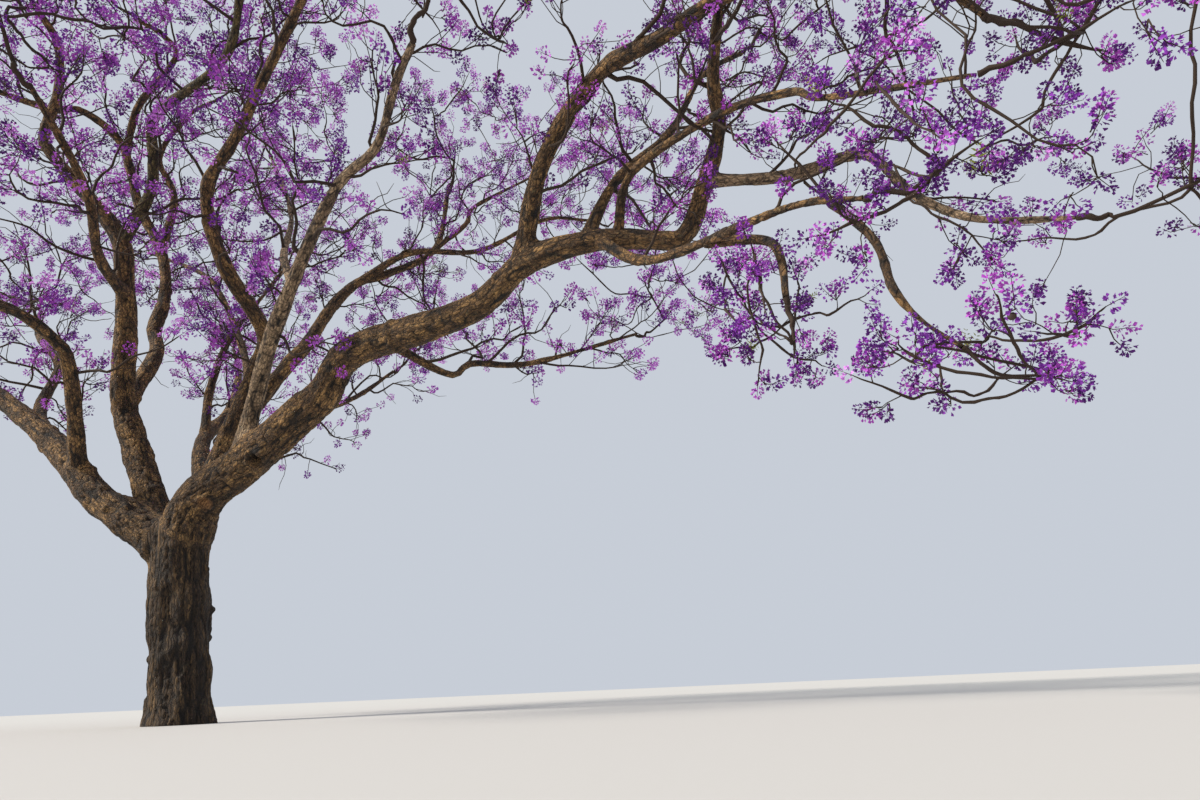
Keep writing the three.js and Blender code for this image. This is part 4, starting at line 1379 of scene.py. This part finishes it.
# Flowers, young leaves and pods
def as_arrays(bm):
    """The points and triangles of a small shape."""
    bmesh.ops.triangulate(bm, faces=bm.faces)
    bm.verts.index_update()
    points = np.array([v.co for v in bm.verts])
    faces = np.array([[v.index for v in face.verts] for face in bm.faces])
    bm.free()
    return points, faces


def placed(shape, places, axes, sizes, rng):
    """Many copies of a shape, each with its foot at a place and its own axis, size and turn."""
    points, faces = shape
    side, front = square_to(axes)
    turn = rng.uniform(0, 2 * np.pi, len(axes))[:, None]
    x = side * np.cos(turn) + front * np.sin(turn)
    y = np.cross(axes, x)
    frames = np.stack([x, y, axes], axis=1) * sizes[:, None, None]
    copies = places[:, None] + np.einsum("pk,nkc->npc", points, frames)
    offsets = np.arange(len(places))[:, None, None] * len(points)
    return copies.reshape(-1, 3), (faces + offsets).reshape(-1, 3)


def open_flower_shape():
    """An open flower as (points, triangles), one unit long: a short throat with five lobes."""
    bm = bmesh.new()
    bmesh.ops.create_cone(bm, segments=LOBES, radius1=0, radius2=THROAT_RADIUS, depth=THROAT_HEIGHT,
                          matrix=Matrix.Translation((0, 0, THROAT_HEIGHT / 2)))
    bmesh.ops.remove_doubles(bm, verts=bm.verts, dist=WELD_DISTANCE)
    for edge in [edge for edge in bm.edges if edge.is_boundary]:
        middle = (edge.verts[0].co + edge.verts[1].co) / 2
        grown = bmesh.ops.extrude_edge_only(bm, edges=[edge])["geom"]
        lobe = [item for item in grown if isinstance(item, bmesh.types.BMVert)]
        out = Vector((middle.x, middle.y, 0)).normalized() * LOBE_RADIUS
        bmesh.ops.pointmerge(bm, verts=lobe, merge_co=(out.x, out.y, 1))
    return as_arrays(bm)


def bell_shape():
    """A nodding bell as (points, triangles), one unit long: a kite folded along its middle."""
    bm = bmesh.new()
    made = bmesh.ops.create_circle(bm, cap_ends=True, segments=4, radius=1)["verts"]
    low, high = BELL_SIDE_HEIGHTS
    spots = ((0, 0, 0), (BELL_RADIUS, -BELL_FOLD, low), (0, BELL_FOLD, 1), (-BELL_RADIUS, -BELL_FOLD, high))
    for vert, spot in zip(made, spots):
        vert.co = spot
    bmesh.ops.connect_vert_pair(bm, verts=[made[0], made[2]])
    return as_arrays(bm)


def panicle_flowers(panicles, rng):
    """Places, ways and sizes of the flowers of some panicles, by panicle. They face out and nod a little."""
    feet = np.array([p.foot for p in panicles])[:, None]
    axes = np.array([p.axis for p in panicles])[:, None]
    sizes = np.array([p.size for p in panicles])[:, None, None]
    count = FLOWERS_PER_PANICLE
    each = (len(panicles), count, 1)
    shares = ((np.arange(count) + 0.5) / count)[None, :, None]
    side, front = square_to(axes)
    turns = GOLDEN_TURN * np.arange(count)[None, :, None] + rng.uniform(0, 2 * np.pi, (len(panicles), 1, 1))
    turns = turns + rng.normal(0, TURN_STRAY, each)
    out = side * np.cos(turns) + front * np.sin(turns)
    bulge = np.sin(np.pi * (PANICLE_START + PANICLE_SPAN * shares))
    width = PANICLE_WIDTH * bulge * rng.uniform(*FLOWER_REACH, each)
    heights = (shares + rng.normal(0, HEIGHT_STRAY, each)) * PANICLE_LENGTH
    places = feet + (axes * heights + out * width) * sizes
    ways = out + axes * (FLOWER_ONWARD + TOP_FLOWER_ONWARD * shares) + [0, 0, -FLOWER_NOD]
    ways = unit(ways + rng.normal(0, WAY_STRAY, out.shape))
    lengths = FLOWER_LENGTH * np.array([p.flower_share for p in panicles])[:, None, None]
    lengths = lengths * rng.uniform(*FLOWER_SIZES, each) * (LOWEST_FLOWER_SIZE - FLOWER_SHRINK * shares)
    return places, ways, lengths[:, :, 0]


def frond_shape():
    """A young leaf as (points, triangles): pairs of small leaflets along a bent stalk, one unit long."""
    bm = bmesh.new()
    half_width = Vector((0, 0, LEAFLET_HALF_WIDTH))
    for k in range(FROND_PAIRS):
        along = FROND_START + FROND_SPAN * k / (FROND_PAIRS - 1)
        width = FROND_WIDTH * math.sin(math.pi * (0.15 + 0.75 * along))
        for hand in (-1, 1):
            foot = Vector((0, -FROND_BEND * along**2, along))
            tip = foot + Vector((hand * width, *LEAFLET_RISE))
            middle = foot.lerp(tip, LEAFLET_MIDDLE)
            made = bmesh.ops.create_circle(bm, cap_ends=True, segments=4, radius=1)["verts"]
            for vert, spot in zip(made, (foot, middle + half_width, tip, middle - half_width)):
                vert.co = spot
    return as_arrays(bm)


def pod_shape():
    """A flat round seed pod as (points, triangles), one unit across, hanging from its foot at zero."""
    bm = bmesh.new()
    bmesh.ops.create_uvsphere(bm, u_segments=8, v_segments=4, radius=0.5)
    bmesh.ops.scale(bm, verts=bm.verts, vec=(1, POD_FLATNESS, 1))
    bmesh.ops.translate(bm, verts=bm.verts, vec=(0, 0, 0.5))
    return as_arrays(bm)


# The dressed crown
def dress_twigs(limbs, masses, materials, rng):
    """All twigs and branches. Gives back the panicles that they bear."""
    main_twigs = joined(main_twig_tubes(masses, rng))
    panicles = []
    for mass in masses:
        own = np.random.default_rng(FIRST_SEED + 1 + mass.index)
        for twig in mass.twigs:
            panicles += head_panicles(twig, own)
    branches, sprigs, branch_panicles = side_branches(limbs, rng)
    twigs = triangle_mesh("twigs", *main_twigs, materials["twig"], "bark")
    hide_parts(*[mass.limb.name + "_blossom" for mass in masses])
    triangle_mesh("side_branches", *branches, materials["twig"], "bark")
    panicles += branch_panicles
    in_pieces("fine_twigs", *fine_twig_tubes(panicles + sprigs, rng), materials["twig"], "bark")
    return panicles


def dress_flowers(panicles, materials, rng):
    """All the flowers, in pieces by their tint."""
    kinds = ((open_flower_shape(), OPEN_FLOWERS), (bell_shape(), CLOSED_FLOWERS))
    for tint, name in enumerate(TINTS):
        places, ways, sizes = panicle_flowers([p for p in panicles if p.tint == tint], rng)
        parts = []
        for shape, rows in kinds:
            spots, axes = places[:, rows].reshape(-1, 3), ways[:, rows].reshape(-1, 3)
            parts.append(placed(shape, spots, axes, sizes[:, rows].ravel(), rng))
        in_pieces("blossom_" + name, *joined(parts), materials["blossom_" + name], "blossom")


def dress_leaves_and_pods(panicles, materials, rng):
    """Tufts of young leaves at some panicles, and a seed pod on the fine twigs of some others."""
    tufts = [panicles[k] for k in rng.choice(len(panicles), LEAF_TUFTS, replace=False)]
    feet = np.repeat([p.foot for p in tufts], FRONDS_PER_TUFT, axis=0)
    axes = np.repeat([p.axis for p in tufts], FRONDS_PER_TUFT, axis=0)
    ways = unit(axes + rng.normal(0, FROND_STRAY, feet.shape))
    leaves = placed(frond_shape(), feet, ways, rng.uniform(*FROND_LENGTHS, len(feet)), rng)
    triangle_mesh("young_leaves", *leaves, materials["young_leaf"], "blossom")
    bearing = [panicles[k] for k in rng.choice(len(panicles), POD_COUNT, replace=False)]
    feet = np.array([p.joint + (p.foot - p.joint) * POD_PLACE for p in bearing])
    ways = unit(rng.normal(0, POD_STRAY, feet.shape) + [0, 0, -1])
    pods = placed(pod_shape(), feet, ways, rng.uniform(*POD_SIZES, len(feet)), rng)
    triangle_mesh("seed_pods", *pods, materials["pod"], "bark")


# Materials
def material(name, roughness):
    """A new material with its roughness, and its shader."""
    made = bpy.data.materials.new(name)
    made.use_nodes = True
    shader = made.node_tree.nodes["Principled BSDF"]
    shader.inputs["Roughness"].default_value = roughness
    return made, shader


def node(made, kind, **inputs):
    """A node with its inputs: a value sets a socket, and a socket is linked to it."""
    new = made.node_tree.nodes.new("ShaderNode" + kind)
    for key, value in inputs.items():
        socket = new.inputs[key.replace("_", " ")]
        if isinstance(value, bpy.types.NodeSocket):
            made.node_tree.links.new(value, socket)
        else:
            socket.default_value = value
    return new


def ramp(made, factor, *stops):
    """A colour ramp of (place, colour) stops."""
    new = node(made, "ValToRGB", Fac=factor)
    elements = new.color_ramp.elements
    while len(elements) < len(stops):
        elements.new(0.5)
    for element, (place, colour) in zip(elements, stops):
        element.position = place
        element.color = (*colour, 1)
    return new.outputs["Color"]


def mixed(made, factor, first, second, blend="MIX"):
    """Two colours mixed."""
    new = made.node_tree.nodes.new("ShaderNodeMix")
    new.data_type = "RGBA"
    new.blend_type = blend
    for index, value in ((0, factor), (6, first), (7, second)):
        if isinstance(value, bpy.types.NodeSocket):
            made.node_tree.links.new(value, new.inputs[index])
        else:
            new.inputs[index].default_value = value if index == 0 else (*value, 1)
    return new.outputs[2]


def bark_mark(made, title):
    """A node that reads one of the marks of a bark piece."""
    new = node(made, "Attribute")
    new.attribute_name = title
    return new


def bark_material(name, dark, middle, light, lichen, relief, stretch):
    """Bark: scaly plates and fine grain along the limb, dark fissures partly in painted shade, warm ridges,
    pale lichen, painted shade in the knot hole and painted shade low on the tree.
    """
    made, shader = material(name, MATT)
    link = made.node_tree.links.new
    place, groove, scar = (bark_mark(made, title) for title in ("bark_place", "groove", "scar"))
    drift = node(made, "TexNoise", Vector=place.outputs["Vector"], Scale=DRIFT_SCALE, Detail=2.0)
    warped = node(made, "VectorMath")
    warped.operation = "MULTIPLY_ADD"
    link(drift.outputs["Color"], warped.inputs[0])
    warped.inputs[1].default_value = DRIFT_REACH
    link(place.outputs["Vector"], warped.inputs[2])
    along = node(made, "Mapping", Vector=warped.outputs[0], Scale=(1, 1, 1 / stretch)).outputs[0]
    patches = node(made, "TexNoise", Vector=along, Scale=PATCH_SCALE, Detail=6.0, Roughness=0.65)
    grain = node(made, "TexNoise", Vector=along, Scale=GRAIN_SCALE, Detail=6.0, Roughness=0.72)
    scales = node(made, "TexVoronoi", Vector=along, Scale=PLATE_SCALE, Randomness=1.0)
    scales.feature = "DISTANCE_TO_EDGE"
    cracks = node(made, "MapRange", Value=scales.outputs["Distance"], From_Max=CRACK_EDGE)
    colour = ramp(made, patches.outputs["Fac"], *zip(PATCH_STOPS, (dark, middle, light)))
    fine = ramp(made, grain.outputs["Fac"], *GRAIN_TONES)
    colour = mixed(made, GRAIN_SHARE, colour, fine, "MULTIPLY")
    crack_shade = ramp(made, cracks.outputs["Result"], *CRACK_TONES)
    colour = mixed(made, CRACK_SHARE, colour, crack_shade, "MULTIPLY")
    spots = node(made, "TexNoise", Vector=place.outputs["Vector"], Scale=LICHEN_SCALE, Detail=4.0,
                 Roughness=0.65)
    low, high = LICHEN_EDGES
    spots = node(made, "MapRange", Value=spots.outputs["Fac"], From_Min=low, From_Max=high)
    colour = mixed(made, spots.outputs["Result"], colour, lichen)
    # Painted shade under the crown: the bark darkens towards the ground.
    where = node(made, "TexCoord")
    parts = node(made, "SeparateXYZ", Vector=where.outputs["Object"])
    low, high = PAINTED_SHADE_HEIGHTS
    height_shade = node(made, "MapRange", Value=parts.outputs["Z"], From_Min=low, From_Max=high, To_Min=LOW_PAINTED_SHADE)
    shade = node(made, "CombineColor", Red=height_shade.outputs[0], Green=height_shade.outputs[0], Blue=height_shade.outputs[0])
    colour = mixed(made, 1.0, colour, shade.outputs[0], "MULTIPLY")
    # The fissures and the knot hole are darkened: partly the bark's own dark furrows, partly painted shade.
    low, high = FISSURE_AND_SHADE_EDGES
    depth = node(made, "MapRange", Value=groove.outputs["Fac"], From_Min=low, From_Max=high)
    colour = mixed(made, depth.outputs["Result"], colour, FISSURE_AND_SHADE_COLOUR)
    bare = mixed(made, 1.0, fine, SCAR_COLOUR, "MULTIPLY")
    colour = mixed(made, scar.outputs["Fac"], colour, bare)
    link(colour, shader.inputs["Base Color"])
    height = node(made, "Math")
    height.operation = "MULTIPLY_ADD"
    link(cracks.outputs["Result"], height.inputs[0])
    height.inputs[1].default_value = CRACK_HEIGHT
    link(grain.outputs["Fac"], height.inputs[2])
    bump = node(made, "Bump", Height=height.outputs[0], Strength=relief, Distance=BUMP_DEPTH)
    link(bump.outputs["Normal"], shader.inputs["Normal"])
    low, high = BARK_ROUGHNESS
    rough = node(made, "MapRange", Value=grain.outputs["Fac"], To_Min=low, To_Max=high)
    link(rough.outputs["Result"], shader.inputs["Roughness"])
    return made


def plain_material(name, colour, roughness):
    """A plain base colour with a fine uneven surface, for small things."""
    made, shader = material(name, roughness)
    shader.inputs["Base Color"].default_value = (*colour, 1)
    shader.inputs["Specular IOR Level"].default_value = SMALL_THING_GLOSS
    where = node(made, "TexCoord")
    uneven = node(made, "TexNoise", Vector=where.outputs["Object"], Scale=SMALL_THING_GRAIN, Detail=3.0)
    bump = node(made, "Bump", Height=uneven.outputs["Fac"], Strength=0.25, Distance=SMALL_THING_BUMP)
    made.node_tree.links.new(bump.outputs["Normal"], shader.inputs["Normal"])
    return made


def all_materials():
    """Every material by its plain name."""
    made = {name: bark_material("bark_" + name, *look) for name, look in BARKS.items()}
    made["twig"] = plain_material("twig_bark", *TWIG_LOOK)
    made["young_leaf"] = plain_material("young_leaf", *YOUNG_LEAF_LOOK)
    made["pod"] = plain_material("pod_shell", *POD_LOOK)
    for name, colour in TINTS.items():
        made["blossom_" + name] = plain_material("blossom_" + name, colour, BLOSSOM_ROUGHNESS)
    return made


# Floor, light and camera
def make_stage():
    """A plain pale floor, a pale sky dome and one soft lamp from the upper left."""
    bm = bmesh.new()
    bmesh.ops.create_grid(bm, x_segments=1, y_segments=1, size=FLOOR_SIZE)
    mesh = bpy.data.meshes.new("floor")
    bm.to_mesh(mesh)
    bm.free()
    floor = bpy.data.objects.new("floor", mesh)
    floor.location.z = -FLOOR_DROP
    bpy.context.scene.collection.objects.link(floor)
    look, shader = material("pale_floor", MATT)
    shader.inputs["Base Color"].default_value = (*FLOOR_COLOUR, 1)
    mesh.materials.append(look)
    world = bpy.data.worlds.new("pale_sky")
    world.use_nodes = True
    background = world.node_tree.nodes["Background"]
    background.inputs["Color"].default_value = (*SKY_COLOUR, 1)
    background.inputs["Strength"].default_value = SKY_STRENGTH
    bpy.context.scene.world = world
    lamp = bpy.data.lights.new("soft_sun", "SUN")
    lamp.energy = SUN_STRENGTH
    lamp.angle = math.radians(SUN_SPREAD)
    lamp.color = SUN_COLOUR
    sun = bpy.data.objects.new("soft_sun", lamp)
    sun.rotation_euler = Vector(SUN_FROM).to_track_quat("Z", "Y").to_euler()
    bpy.context.scene.collection.objects.link(sun)


def make_camera():
    """The camera at the photograph's viewing angle."""
    data = bpy.data.cameras.new("camera")
    data.sensor_fit = "HORIZONTAL"
    data.sensor_width = SENSOR_WIDTH
    data.lens = CAMERA_LENS
    data.clip_end = CAMERA_SIGHT
    camera = bpy.data.objects.new("camera", data)
    tilt = Matrix.Rotation(math.radians(90 + CAMERA_PITCH), 4, "X")
    roll = Matrix.Rotation(math.radians(-CAMERA_ROLL), 4, "Z")
    camera.matrix_world = Matrix.Translation(CAMERA_PLACE) @ tilt @ roll
    bpy.context.scene.collection.objects.link(camera)
    bpy.context.scene.camera = camera


# The whole tree in its scene
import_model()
make_camera()
make_stage()
bpy.context.scene.view_settings.view_transform = "Standard"
looks = all_materials()
limbs = grow_limbs()
dress_merged(limbs, looks)
dress_thin(limbs, looks)
rng = np.random.default_rng(FIRST_SEED)
panicles = dress_twigs(limbs, grow_masses(limbs), looks, rng)
dress_flowers(panicles, looks, rng)
dress_leaves_and_pods(panicles, looks, rng)
